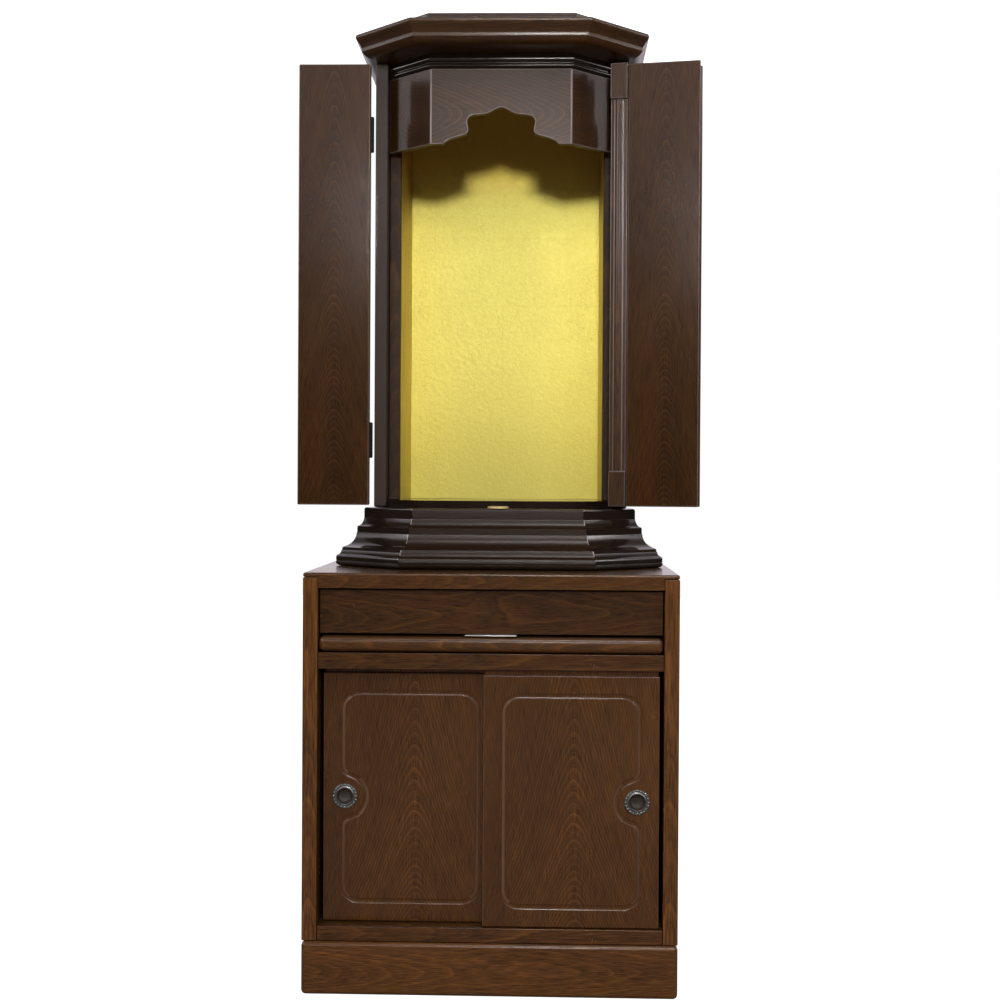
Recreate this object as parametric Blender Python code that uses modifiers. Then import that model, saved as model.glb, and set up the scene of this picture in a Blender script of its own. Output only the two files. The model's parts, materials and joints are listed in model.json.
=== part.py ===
"""Household altar cabinet on its matching stand.

A bay-fronted altar cabinet with two folding pairs of doors stands loose on a
lower cabinet with a drawer, a slide-out tray and two sliding doors.  Metres,
+Z up, the front looks along -Y, and the origin is on the floor in the middle
of the stand.
"""
import math

import bmesh
import bpy
from mathutils import Matrix, Vector

# Fits
JOINT_GAP = 0.0003
SLIDE_GAP = 0.0010
LEAF_GAP = 0.0010
EDGE_EASE = 0.0010
SIN45 = math.sin(math.radians(45))
TAN22 = math.tan(math.radians(22.5))

# Stand
STAND_WIDTH = 0.500
STAND_DEPTH = 0.470
STAND_PANEL = 0.020
BASE_HEIGHT = 0.0705
BASE_BOARD = 0.020
BASE_PROUD = 0.005
BASE_ROUND = 0.006
CABINET_FLOOR = 0.0198
DOOR_BAY = 0.343
DIVIDER = 0.022
TRAY_BAY = 0.0225
TRAY_PLAY = 0.0010
DRAWER_BAY = 0.063
STAND_TOP = 0.0205
TOP_LIP = 0.006
TOP_EASE = 0.0025
BACK_SHEET = 0.005
DRAWER_SETBACK = 0.012
DRAWER_BOARD = 0.012
DRAWER_FRONT = 0.016
DRAWER_FRONT_PLAY = 0.0020
DRAWER_DEPTH = 0.380
RUNNER_WIDTH = 0.012
RUNNER_HEIGHT = 0.006
DRAWER_BOTTOM = 0.004
DRAWER_SIDE_DROP = 0.006
PULL_PLATE_WIDTH = 0.069
PULL_PLATE_REACH = 0.010
PULL_PLATE_THICK = 0.0015
TRAY_DEPTH = 0.330
TRAY_ROUND = 0.007

# Sliding doors
SLIDE_DOOR_LAP = 0.019
SLIDE_DOOR_THICK = 0.016
SLIDE_DOOR_SIDE_GAP = 0.0050
SLIDE_DOOR_TOP_GAP = 0.007
SLIDE_DOOR_FOOT_GAP = 0.0012
SLIDE_DOOR_EASE = 0.0015
TRACK_SETBACK = 0.004
TRACK_BETWEEN = 0.004
TONGUE = 0.006
TONGUE_RISE = 0.006
TONGUE_ROOT = 0.004
TONGUE_INSET = 0.002
GROOVE_PLAY = 0.0010
GROOVE_DEPTH = 0.010
ROUTING_MARGIN_SIDE = 0.026
ROUTING_MARGIN_END = 0.027
ROUTING_CORNER = 0.022
ROUTING_RADIUS = 0.0050
ROUTING_DEPTH = 0.0017
ROUTING_SCALLOP = 0.029
ROUTING_EASE = 0.014
CUP_RADIUS = 0.0165
CUP_BOWL_RADIUS = 0.0105
CUP_BOWL_DEPTH = 0.006
CUP_PROUD = 0.0016
CUP_WALL = 0.0010
CUP_FROM_EDGE = 0.0295
CUP_HEIGHT_SHARE = 0.502

# Altar plan
ALTAR_SHIFT = 0.005
ALTAR_HALF_WIDTH = 0.185
BAY_RUN = 0.069
BAY_FRONT = 0.130
ALTAR_BACK_GAP = 0.013
PLINTH_HEIGHT = 0.084
ALTAR_FLOOR = 0.0105
FRONT_HEIGHT = 0.6495
CORNICE_HEIGHT = 0.0545
ALTAR_PANEL = 0.0185
ALTAR_BACK_PANEL = 0.010
POST_SETBACK = 0.0200
JAMB_WIDTH = 0.0165
JAMB_THICK = 0.014
LINING = 0.004
FLOOR_CLEARANCE = 0.0055
POST_EASE = 0.0015
CEILING = 0.012
RING_INSET = 0.050
TOP_SLAB = 0.0120
TOP_SLAB_INSET = 0.0263
TOP_SLAB_EASE = 0.002

# Valance
VALANCE_INSET = 0.0367
VALANCE_THICK = 0.010
VALANCE_DROP = 0.1295
BEAD_BAND = 0.021
BEAD_PROUD = 0.0042
ARCH_HALF_WIDTH = 0.0800
ARCH_RISE = 0.0522

# Folding doors
LEAF_THICK = 0.016
LEAF_FOOT_GAP = 0.0035
LEAF_HEAD_GAP = 0.0145
HINGE_OUT = 0.0035
LEAF_START = 0.0050
OPEN_LEFT = 135.0
OPEN_RIGHT = 124.0
FOLD = 135.0
ASTRAGAL_WIDTH = 0.024
ASTRAGAL_PROUD = 0.0070
ASTRAGAL_BLOCK = 0.050
ASTRAGAL_WAIST = 0.017
ASTRAGAL_BED = 0.0012
ASTRAGAL_BLOCK_INSET = 0.002
BARREL_RADIUS = 0.0030
BARREL_LENGTH = 0.052
HINGE_FROM_END = 0.094
HINGE_PLATE = 0.0013
STOP_RADIUS = 0.015
STOP_HEIGHT = 0.0030
STOP_EASE = 0.001

# Levels worked out from the sizes above
FRONT_Y = (BASE_PROUD - STAND_DEPTH) / 2
BACK_Y = (BASE_PROUD + STAND_DEPTH) / 2
FLOOR_Z = BASE_HEIGHT + CABINET_FLOOR
DIVIDER_Z = FLOOR_Z + DOOR_BAY
TRAY_Z = DIVIDER_Z + DIVIDER
DRAWER_Z = TRAY_Z + TRAY_BAY
TOP_Z = DRAWER_Z + DRAWER_BAY
STAND_HEIGHT = TOP_Z + STAND_TOP
PLINTH_Z = STAND_HEIGHT + JOINT_GAP
ALTAR_Z = PLINTH_Z + PLINTH_HEIGHT
ALTAR_FLOOR_TOP = ALTAR_Z + ALTAR_FLOOR
CORNICE_Z = ALTAR_Z + FRONT_HEIGHT
LEAF_Z = ALTAR_Z + LEAF_FOOT_GAP
BAY_FRONT_Y = FRONT_Y + BAY_FRONT
BAY_SIDE_Y = BAY_FRONT_Y + BAY_RUN
BAY_HALF_FLAT = ALTAR_HALF_WIDTH - BAY_RUN
ALTAR_BACK_Y = BACK_Y - ALTAR_BACK_GAP
POST_Y = BAY_SIDE_Y + POST_SETBACK
INNER_HALF = ALTAR_HALF_WIDTH - ALTAR_PANEL
STAND_INNER = STAND_WIDTH / 2 - STAND_PANEL
SLIDE_DOOR_WIDTH = STAND_INNER - SLIDE_DOOR_SIDE_GAP + SLIDE_DOOR_LAP / 2
LEAF_HEIGHT = FRONT_HEIGHT - LEAF_FOOT_GAP - LEAF_HEAD_GAP
VALANCE_BACK = VALANCE_INSET + VALANCE_THICK
JAMB_Y = BAY_FRONT_Y + VALANCE_BACK * (1 + TAN22) + INNER_HALF - BAY_HALF_FLAT + JOINT_GAP

# Colours
WENGE = (0.052, 0.026, 0.016)
WENGE_BLACK = (0.018, 0.012, 0.010)
GOLD = (0.780, 0.600, 0.160)
PALE_WOOD = (0.420, 0.300, 0.180)
IRON = (0.045, 0.045, 0.045)
PEWTER = (0.220, 0.230, 0.220)
BRASS = (0.560, 0.430, 0.210)

# Finishes: colour, roughness and metallic
WENGE_FINISH = (WENGE, 0.42)
BLACK_FINISH = (WENGE_BLACK, 0.18)
GOLD_FINISH = (GOLD, 0.45, 0.6)
PALE_FINISH = (PALE_WOOD, 0.6)
IRON_FINISH = (IRON, 0.4, 0.9)
PEWTER_FINISH = (PEWTER, 0.4, 0.9)
BRASS_FINISH = (BRASS, 0.35, 0.9)


def new_collection(name):
    collection = bpy.data.collections.new(name)
    bpy.context.scene.collection.children.link(collection)
    return collection


def clear_scene():
    for obj in list(bpy.data.objects):
        bpy.data.objects.remove(obj, do_unlink=True)


def material(name, colour, roughness, metallic=0.0):
    made = bpy.data.materials.get(name) or bpy.data.materials.new(name)
    made.use_nodes = True
    shader = made.node_tree.nodes["Principled BSDF"]
    shader.inputs["Base Color"].default_value = (*colour, 1.0)
    shader.inputs["Roughness"].default_value = roughness
    shader.inputs["Metallic"].default_value = metallic
    return made


def add_object(name, mesh, finish, collection):
    obj = bpy.data.objects.new(name, mesh)
    collection.objects.link(obj)
    mesh.materials.clear()
    mesh.materials.append(material(name + "_finish", *finish))
    return obj


def mesh_from(bm, name):
    bmesh.ops.recalc_face_normals(bm, faces=bm.faces)
    mesh = bpy.data.meshes.new(name)
    bm.to_mesh(mesh)
    bm.free()
    return mesh


def ease(obj, width=EDGE_EASE, segments=1):
    bevel = obj.modifiers.new("Eased edges", "BEVEL")
    bevel.width = width
    bevel.segments = segments
    bevel.limit_method = "ANGLE"
    bevel.angle_limit = math.radians(30)
    return obj


def box_mesh(name, low, high):
    size = Vector(high) - Vector(low)
    middle = (Vector(high) + Vector(low)) / 2
    bm = bmesh.new()
    bmesh.ops.create_cube(bm, size=1.0)
    bmesh.ops.scale(bm, vec=size, verts=bm.verts)
    bmesh.ops.translate(bm, vec=middle, verts=bm.verts)
    return mesh_from(bm, name)


def slab_mesh(name, outline, low, high):
    """A flat outline in plan, extruded from one height to another."""
    return loft_mesh(name, [(outline, low), (outline, high)])


def loft_mesh(name, rings):
    """Outlines with the same number of points, each extruded into the next."""
    bm = bmesh.new()
    order = bm.verts.layers.int.new("order")
    outline, height = rings[0]
    ring = [bm.verts.new((x, y, height)) for x, y in outline]
    for index, vert in enumerate(ring):
        vert[order] = index
    face = bm.faces.new(ring)
    for height_index, (outline, height) in enumerate(rings[1:], 1):
        below = face
        grown = bmesh.ops.extrude_face_region(bm, geom=[below])["geom"]
        face = next(item for item in grown if isinstance(item, bmesh.types.BMFace))
        if below.is_valid and height_index > 1:
            bmesh.ops.delete(bm, geom=[below], context="FACES_ONLY")
        for vert in face.verts:
            x, y = outline[vert[order]]
            vert.co = (x, y, height)
    return mesh_from(bm, name)


def cylinder_mesh(name, centre, radius, length, axis="Z", sides=20):
    turn = {"Z": Matrix(), "Y": Matrix.Rotation(math.radians(90), 4, "X")}[axis]
    bm = bmesh.new()
    bmesh.ops.create_cone(bm, cap_ends=True, segments=sides, radius1=radius, radius2=radius,
                          depth=length, matrix=Matrix.Translation(centre) @ turn)
    return mesh_from(bm, name)


def turned_mesh(name, profile, centre, sides=28):
    """A closed profile of (radius, forward) points turned about the -Y direction."""
    bm = bmesh.new()
    verts = [bm.verts.new((radius, -forward, 0.0)) for radius, forward in profile]
    edges = [bm.edges.new(pair) for pair in zip(verts, verts[1:])]
    bmesh.ops.spin(bm, geom=verts + edges, cent=(0, 0, 0), axis=(0, 1, 0), angle=math.tau,
                   steps=sides, use_merge=True, use_duplicate=False)
    bmesh.ops.remove_doubles(bm, verts=bm.verts, dist=0.00001)
    bmesh.ops.translate(bm, vec=centre, verts=bm.verts)
    return mesh_from(bm, name)


def cut(obj, cutter, operation="DIFFERENCE"):
    boolean = obj.modifiers.new("Cut " + cutter.name, "BOOLEAN")
    boolean.operation = operation
    boolean.solver = "EXACT"
    boolean.object = cutter
    return obj


def arc(centre, radius, start, end, steps):
    """Points on an arc, angles in degrees."""
    angles = [math.radians(start + (end - start) * step / steps) for step in range(steps + 1)]
    return [(centre[0] + radius * math.cos(a), centre[1] + radius * math.sin(a)) for a in angles]


class Builder:
    """Keeps the two collections and adds pieces and cutters to them."""

    def __init__(self):
        self.parts = new_collection("household_altar_cabinet")
        self.cutters = new_collection("cutters")

    def piece(self, name, mesh, finish):
        return add_object(name, mesh, finish, self.parts)

    def board(self, name, low, high, finish, eased=EDGE_EASE):
        obj = self.piece(name, box_mesh(name, low, high), finish)
        return ease(obj, eased) if eased else obj

    def cutter(self, name, mesh):
        obj = bpy.data.objects.new(name, mesh)
        self.cutters.objects.link(obj)
        obj.hide_render = True
        obj.display_type = "WIRE"
        return obj

    def pivot(self, name, place, parent=None):
        empty = bpy.data.objects.new(name, None)
        self.parts.objects.link(empty)
        empty.parent = parent
        empty.location = place
        return empty


def build_stand(b):
    half = STAND_WIDTH / 2
    inner = STAND_INNER
    back = BACK_Y - BACK_SHEET - JOINT_GAP
    low_z = BASE_HEIGHT + JOINT_GAP
    for side, word in ((-1, "left"), (1, "right")):
        edges = sorted((side * inner, side * half))
        b.board(f"stand_side_{word}", (edges[0], FRONT_Y, low_z),
                (edges[1], BACK_Y, STAND_HEIGHT - TOP_LIP - JOINT_GAP), WENGE_FINISH)
        edges = sorted((side * (half - BASE_BOARD), side * half))
        b.board(f"base_side_{word}", (edges[0], FRONT_Y + BASE_BOARD - BASE_PROUD + JOINT_GAP, 0),
                (edges[1], BACK_Y, BASE_HEIGHT), WENGE_FINISH)
        edges = sorted((side * (inner - JOINT_GAP), side * (inner - JOINT_GAP - RUNNER_WIDTH)))
        b.board(f"drawer_runner_{word}", (edges[0], FRONT_Y + DRAWER_SETBACK + DRAWER_FRONT + SLIDE_GAP,
                                          DRAWER_Z + SLIDE_GAP),
                (edges[1], back - JOINT_GAP, DRAWER_Z + SLIDE_GAP + RUNNER_HEIGHT), PALE_FINISH, 0)
    front = b.board("base_front", (-half, FRONT_Y - BASE_PROUD, 0),
                    (half, FRONT_Y + BASE_BOARD - BASE_PROUD, BASE_HEIGHT), WENGE_FINISH, 0)
    ease(front, BASE_ROUND, 4)
    b.board("base_back", (-half + BASE_BOARD + JOINT_GAP, BACK_Y - BASE_BOARD, 0),
            (half - BASE_BOARD - JOINT_GAP, BACK_Y, BASE_HEIGHT), WENGE_FINISH)
    reach = inner - JOINT_GAP
    floor = b.board("cabinet_floor", (-reach, FRONT_Y, low_z), (reach, back, FLOOR_Z), WENGE_FINISH)
    divider = b.board("divider_shelf", (-reach, FRONT_Y, DIVIDER_Z),
                      (reach, back, TRAY_Z), WENGE_FINISH)
    for track in (0, 1):
        centre = track_centre(track)
        wide = TONGUE / 2 + GROOVE_PLAY
        groove = b.cutter(f"groove_top_{track}", box_mesh(
            "groove", (-half, centre - wide, DIVIDER_Z - GROOVE_DEPTH),
            (half, centre + wide, DIVIDER_Z + GROOVE_DEPTH)))
        cut(divider, groove)
        groove = b.cutter(f"groove_foot_{track}", box_mesh(
            "groove", (-half, centre - wide, FLOOR_Z - GROOVE_DEPTH / 2),
            (half, centre + wide, FLOOR_Z + GROOVE_DEPTH)))
        cut(floor, groove)
    top = b.piece("stand_top", box_mesh("stand_top", (-half, FRONT_Y, STAND_HEIGHT - TOP_LIP),
                                        (half, BACK_Y, STAND_HEIGHT)), WENGE_FINISH)
    ease(top, TOP_EASE, 3)
    core = b.cutter("top_core", box_mesh("core", (-reach, FRONT_Y + JOINT_GAP, TOP_Z),
                                         (reach, back, STAND_HEIGHT - TOP_LIP / 2)))
    cut(top, core, "UNION")
    b.board("stand_back", (-reach, BACK_Y - BACK_SHEET, low_z),
            (reach, BACK_Y, TOP_Z - JOINT_GAP), WENGE_FINISH, 0)


def track_centre(track):
    """Middle of a sliding door in depth; track 0 is the front one."""
    step = SLIDE_DOOR_THICK + TRACK_BETWEEN
    return FRONT_Y + TRACK_SETBACK + SLIDE_DOOR_THICK / 2 + track * step


def build_tray(b):
    reach = STAND_INNER - SLIDE_GAP
    tray = b.board("slide_tray", (-reach, FRONT_Y, TRAY_Z + TRAY_PLAY),
                   (reach, FRONT_Y + TRAY_DEPTH, DRAWER_Z - TRAY_PLAY), WENGE_FINISH, 0)
    ease(tray, TRAY_ROUND, 3)


def build_drawer(b):
    low = DRAWER_Z + DRAWER_FRONT_PLAY
    high = TOP_Z - DRAWER_FRONT_PLAY
    reach = STAND_INNER - SLIDE_GAP
    face = FRONT_Y + DRAWER_SETBACK
    behind = face + DRAWER_FRONT
    b.board("drawer_front", (-reach, face, low), (reach, behind, high), WENGE_FINISH)
    side_low = DRAWER_Z + SLIDE_GAP + RUNNER_HEIGHT + JOINT_GAP
    side_high = high - DRAWER_SIDE_DROP
    back = face + DRAWER_DEPTH
    for side, word in ((-1, "left"), (1, "right")):
        edges = sorted((side * reach, side * (reach - DRAWER_BOARD)))
        b.board(f"drawer_side_{word}", (edges[0], behind + JOINT_GAP, side_low),
                (edges[1], back, side_high), PALE_FINISH, 0)
    inner = reach - DRAWER_BOARD - JOINT_GAP
    b.board("drawer_back", (-inner, back - DRAWER_BOARD, side_low), (inner, back, side_high), PALE_FINISH, 0)
    b.board("drawer_bottom", (-inner, behind + JOINT_GAP, side_low),
            (inner, back - DRAWER_BOARD - JOINT_GAP, side_low + DRAWER_BOTTOM), PALE_FINISH, 0)
    plate_z = low - JOINT_GAP - PULL_PLATE_THICK
    b.board("drawer_pull", (-PULL_PLATE_WIDTH / 2, face - PULL_PLATE_REACH, plate_z),
            (PULL_PLATE_WIDTH / 2, behind, plate_z + PULL_PLATE_THICK), PEWTER_FINISH, 0)


def routing_path(width, low, high, side):
    """Closed line of the routed groove: a rounded frame that bows in round the pull.

    It runs in the plane of the door, about the door's middle, with the pull on the given side.
    """
    x_far = width / 2 - ROUTING_MARGIN_SIDE
    z_low = low + ROUTING_MARGIN_END
    z_high = high - ROUTING_MARGIN_END
    r = ROUTING_CORNER
    cup_x = width / 2 - CUP_FROM_EDGE
    cup_z = low + (high - low) * CUP_HEIGHT_SHARE
    bow = ROUTING_SCALLOP
    meet = math.degrees(math.acos((cup_x - x_far + ROUTING_EASE) / (bow + ROUTING_EASE)))
    rise = (bow + ROUTING_EASE) * math.sin(math.radians(meet))
    points = []
    points += arc((x_far - r, z_high - r), r, 90, 0, 5)
    points += arc((x_far - ROUTING_EASE, cup_z + rise), ROUTING_EASE, 0, -(180 - (180 - meet)), 4)
    points += arc((cup_x, cup_z), bow, 180 - meet, 180 + meet, 12)
    points += arc((x_far - ROUTING_EASE, cup_z - rise), ROUTING_EASE, meet, 0, 4)
    points += arc((x_far - r, z_low + r), r, 0, -90, 5)
    points += arc((-x_far + r, z_low + r), r, -90, -180, 5)
    points += arc((-x_far + r, z_high - r), r, 180, 90, 5)
    return [(side * x, z) for x, z in points]


def tube_mesh(name, path, radius, sides=8):
    """A closed tube along a path in the XZ plane, for routing a round-bottomed groove."""
    curve = bpy.data.curves.new(name, "CURVE")
    curve.dimensions = "3D"
    curve.bevel_depth = radius
    curve.bevel_resolution = sides // 4
    spline = curve.splines.new("POLY")
    spline.points.add(len(path) - 1)
    for point, (x, z) in zip(spline.points, path):
        point.co = (x, 0.0, z, 1.0)
    spline.use_cyclic_u = True
    obj = bpy.data.objects.new(name, curve)
    bpy.context.scene.collection.objects.link(obj)
    bpy.context.view_layer.update()
    evaluated = obj.evaluated_get(bpy.context.evaluated_depsgraph_get())
    mesh = bpy.data.meshes.new_from_object(evaluated)
    bpy.data.objects.remove(obj)
    bm = bmesh.new()
    bm.from_mesh(mesh)
    bmesh.ops.remove_doubles(bm, verts=bm.verts, dist=0.00005)
    return mesh_from(bm, name)


def build_sliding_doors(b):
    low = FLOOR_Z + SLIDE_DOOR_FOOT_GAP
    high = DIVIDER_Z - SLIDE_DOOR_TOP_GAP
    tongue_low = FLOOR_Z - GROOVE_DEPTH / 2 + JOINT_GAP
    for side, word, track in ((-1, "left", 1), (1, "right", 0)):
        centre = track_centre(track)
        outer = STAND_INNER - SLIDE_DOOR_SIDE_GAP
        middle = side * (outer - SLIDE_DOOR_WIDTH / 2)
        half = SLIDE_DOOR_WIDTH / 2
        face = centre - SLIDE_DOOR_THICK / 2
        door = b.board(f"sliding_door_{word}", (middle - half, face, low),
                       (middle + half, centre + SLIDE_DOOR_THICK / 2, high), WENGE_FINISH, 0)
        ease(door, SLIDE_DOOR_EASE, 2)
        tongue_top = b.cutter(f"tongue_top_{word}", box_mesh(
            "tongue", (middle - half + TONGUE_INSET, centre - TONGUE / 2, high - TONGUE_ROOT),
            (middle + half - TONGUE_INSET, centre + TONGUE / 2, DIVIDER_Z + TONGUE_RISE)))
        cut(door, tongue_top, "UNION")
        tongue_foot = b.cutter(f"tongue_foot_{word}", box_mesh(
            "tongue", (middle - half + TONGUE_INSET, centre - TONGUE / 2, tongue_low),
            (middle + half - TONGUE_INSET, centre + TONGUE / 2, low + TONGUE_ROOT)))
        cut(door, tongue_foot, "UNION")
        path = [(middle + x, z) for x, z in routing_path(SLIDE_DOOR_WIDTH, low, high, side)]
        tube = b.cutter(f"routing_{word}", tube_mesh("routing", path, ROUTING_RADIUS))
        tube.location.y = face - ROUTING_RADIUS + ROUTING_DEPTH
        cut(door, tube)
        cup_x = middle + side * (half - CUP_FROM_EDGE)
        cup_z = low + (high - low) * CUP_HEIGHT_SHARE
        socket = b.cutter(f"cup_socket_{word}", cylinder_mesh(
            "socket", (cup_x, face, cup_z), CUP_BOWL_RADIUS + CUP_WALL + JOINT_GAP,
            2 * (CUP_BOWL_DEPTH + CUP_WALL + JOINT_GAP), "Y", 28))
        cut(door, socket)
        bowl = CUP_BOWL_RADIUS
        profile = [(0, -CUP_BOWL_DEPTH), (bowl * 0.8, -CUP_BOWL_DEPTH), (bowl, -CUP_BOWL_DEPTH * 0.6),
                   (bowl, CUP_PROUD), (bowl + 0.0012, CUP_PROUD + 0.0006), (bowl + 0.0024, CUP_PROUD),
                   (CUP_RADIUS - 0.001, CUP_PROUD * 0.8), (CUP_RADIUS, JOINT_GAP * 2),
                   (CUP_RADIUS, JOINT_GAP), (bowl + CUP_WALL, JOINT_GAP),
                   (bowl + CUP_WALL, -CUP_BOWL_DEPTH - CUP_WALL), (0, -CUP_BOWL_DEPTH - CUP_WALL)]
        cup = b.piece(f"door_pull_{word}", turned_mesh("door_pull", profile, (cup_x, face, cup_z)),
                      PEWTER_FINISH)
        cup.data.shade_smooth()
        cup.data.set_sharp_from_angle(angle=math.radians(35))


def bay(out, back=ALTAR_BACK_Y):
    """Plan of the altar grown outward by a distance: straight back, sides and a three-sided front."""
    half = ALTAR_HALF_WIDTH + out
    corner = BAY_SIDE_Y - TAN22 * out
    flat = BAY_HALF_FLAT + TAN22 * out
    right = [(half, back), (half, corner), (flat, BAY_FRONT_Y - out)]
    outline = [(-x, y) for x, y in right] + [(x, y) for x, y in reversed(right)]
    return [(ALTAR_SHIFT + x, y) for x, y in outline]


def plinth_profile():
    """(outward, height) steps of the plinth moulding, from the bottom up."""
    foot = [(0.0440, 0.0000), (0.0480, 0.0012), (0.0500, 0.0034), (0.0504, 0.0062),
            (0.0492, 0.0074), (0.0500, 0.0086), (0.0498, 0.0130), (0.0490, 0.0150)]
    low_cove = [(0.0458, 0.0164), (0.0434, 0.0190), (0.0424, 0.0226)]
    low_fillet = [(0.0416, 0.0230), (0.0412, 0.0264)]
    cove = [(0.0385, 0.0274), (0.0340, 0.0292), (0.0300, 0.0316), (0.0266, 0.0348),
            (0.0240, 0.0386), (0.0224, 0.0428), (0.0216, 0.0474)]
    fillet = [(0.0210, 0.0480), (0.0208, 0.0560), (0.0200, 0.0570)]
    neck = [(0.0170, 0.0580), (0.0144, 0.0606), (0.0126, 0.0642), (0.0116, 0.0680)]
    top = PLINTH_HEIGHT
    cap = [(0.0112, 0.0690), (0.0112, top - 0.0030), (0.0104, top - 0.0012),
           (0.0086, top - 0.0002), (0.0060, top)]
    return foot + low_cove + low_fillet + cove + fillet + neck + cap


def cornice_profile():
    """(outward, height) steps of the cornice moulding, from the bottom up."""
    ovolo = [(0.0040, 0.0), (0.0077, 0.0006), (0.0105, 0.0018), (0.0132, 0.0038), (0.0156, 0.0062),
             (0.0170, 0.0088)]
    fillet = [(0.0176, 0.0092), (0.0178, 0.0138)]
    cyma = [(0.0184, 0.0146), (0.0194, 0.0168), (0.0210, 0.0196), (0.0234, 0.0226), (0.0255, 0.0254),
            (0.0266, 0.0282), (0.0264, 0.0306), (0.0250, 0.0324), (0.0228, 0.0332)]
    roof = [(-0.0100, 0.0380), (-0.0250, CORNICE_HEIGHT - TOP_SLAB)]
    return ovolo + fillet + cyma + roof


def build_altar_case(b):
    plinth_rings = [(bay(out), PLINTH_Z + z) for out, z in plinth_profile()]
    plinth = b.piece("altar_plinth", loft_mesh("plinth", plinth_rings), BLACK_FINISH)
    inside = bay(-RING_INSET, ALTAR_BACK_Y - RING_INSET / 2)
    cut(plinth, b.cutter("plinth_inside", slab_mesh("inside", inside, PLINTH_Z - 0.01, ALTAR_Z + 0.01)))
    cornice_rings = [(bay(out), CORNICE_Z + z) for out, z in cornice_profile()]
    cornice = b.piece("altar_cornice", loft_mesh("cornice", cornice_rings), WENGE_FINISH)
    cut(cornice, b.cutter("cornice_inside", slab_mesh("inside", inside, CORNICE_Z - 0.01,
                                                      CORNICE_Z + CORNICE_HEIGHT)))
    slab_low = CORNICE_Z + CORNICE_HEIGHT - TOP_SLAB + JOINT_GAP
    slab = b.piece("altar_top", slab_mesh("top", bay(-TOP_SLAB_INSET), slab_low,
                                          CORNICE_Z + CORNICE_HEIGHT), WENGE_FINISH)
    ease(slab, TOP_SLAB_EASE, 2)

    low = ALTAR_Z + JOINT_GAP
    high = CORNICE_Z - JOINT_GAP
    for side, word in ((-1, "left"), (1, "right")):
        edges = sorted((side * INNER_HALF, side * ALTAR_HALF_WIDTH))
        b.board(f"altar_side_{word}", (ALTAR_SHIFT + edges[0], POST_Y, low),
                (ALTAR_SHIFT + edges[1], ALTAR_BACK_Y, high), BLACK_FINISH, POST_EASE)
        outer = side * (INNER_HALF - JOINT_GAP)
        inner = side * (INNER_HALF - JAMB_WIDTH)
        edges = sorted((outer, inner))
        b.board(f"altar_jamb_{word}", (ALTAR_SHIFT + edges[0], JAMB_Y, ALTAR_FLOOR_TOP + JOINT_GAP),
                (ALTAR_SHIFT + edges[1], JAMB_Y + JAMB_THICK, high - CEILING - JOINT_GAP), WENGE_FINISH)
        edges = sorted((inner, inner + side * LINING))
        b.board(f"gold_side_{word}", (ALTAR_SHIFT + edges[0], JAMB_Y + JAMB_THICK + JOINT_GAP,
                                      ALTAR_FLOOR_TOP + JOINT_GAP),
                (ALTAR_SHIFT + edges[1], back_face() - JOINT_GAP, high - CEILING - JOINT_GAP),
                GOLD_FINISH, 0)
    reach = INNER_HALF - JOINT_GAP
    b.board("gold_back", (ALTAR_SHIFT - reach, back_face(), ALTAR_FLOOR_TOP + JOINT_GAP),
            (ALTAR_SHIFT + reach, back_face() + LINING, high - CEILING - JOINT_GAP), GOLD_FINISH, 0)
    b.board("altar_back", (ALTAR_SHIFT - reach, ALTAR_BACK_Y - ALTAR_BACK_PANEL, low),
            (ALTAR_SHIFT + reach, ALTAR_BACK_Y, high), BLACK_FINISH, 0)
    floor_plan = bay(-LEAF_THICK - FLOOR_CLEARANCE, ALTAR_BACK_Y - ALTAR_BACK_PANEL - JOINT_GAP)
    b.piece("altar_floor", slab_mesh("floor", floor_plan, low, ALTAR_FLOOR_TOP), BLACK_FINISH)
    b.board("altar_ceiling", (ALTAR_SHIFT - reach, JAMB_Y, high - CEILING),
            (ALTAR_SHIFT + reach, ALTAR_BACK_Y - ALTAR_BACK_PANEL - JOINT_GAP, high), BLACK_FINISH, 0)
    stop = cylinder_mesh("stop", (ALTAR_SHIFT, BAY_FRONT_Y + LEAF_THICK * 0.25,
                                  ALTAR_Z + JOINT_GAP + STOP_HEIGHT / 2), STOP_RADIUS, STOP_HEIGHT, "Z", 24)
    ease(b.piece("door_stop", stop, BRASS_FINISH), STOP_EASE, 2)


def back_face():
    """Depth of the gold panel's front face."""
    return ALTAR_BACK_Y - ALTAR_BACK_PANEL - JOINT_GAP - LINING


def wing_line(inset, reach):
    """Front flat and two 45 degree wings at a distance behind the bay, as an open line in plan."""
    flat = BAY_HALF_FLAT - TAN22 * inset
    front = BAY_FRONT_Y + inset
    right = [(flat, front), (reach, front + reach - flat)]
    points = [(-x, y) for x, y in reversed(right)] + right
    return [(ALTAR_SHIFT + x, y) for x, y in points]


def arch_outline():
    """Right half of the scalloped arch in the valance, from its foot to its peak, as (x, rise)."""
    w = ARCH_HALF_WIDTH
    h = ARCH_RISE
    foot = [(w * 1.03, 0.0), (w * 0.97, h * 0.09), (w * 0.91, h * 0.14), (w * 0.80, h * 0.19)]
    shoulder = [(w * 0.70, h * 0.23), (w * 0.62, h * 0.27), (w * 0.585, h * 0.34)]
    lobe = [(w * 0.575, h * 0.42), (w * 0.59, h * 0.51), (w * 0.605, h * 0.60), (w * 0.59, h * 0.69)]
    brow = [(w * 0.55, h * 0.76), (w * 0.49, h * 0.795), (w * 0.36, h * 0.81), (w * 0.26, h * 0.83),
            (w * 0.18, h * 0.88), (w * 0.12, h * 0.93), (w * 0.05, h * 0.985)]
    return foot + shoulder + lobe + brow


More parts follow.
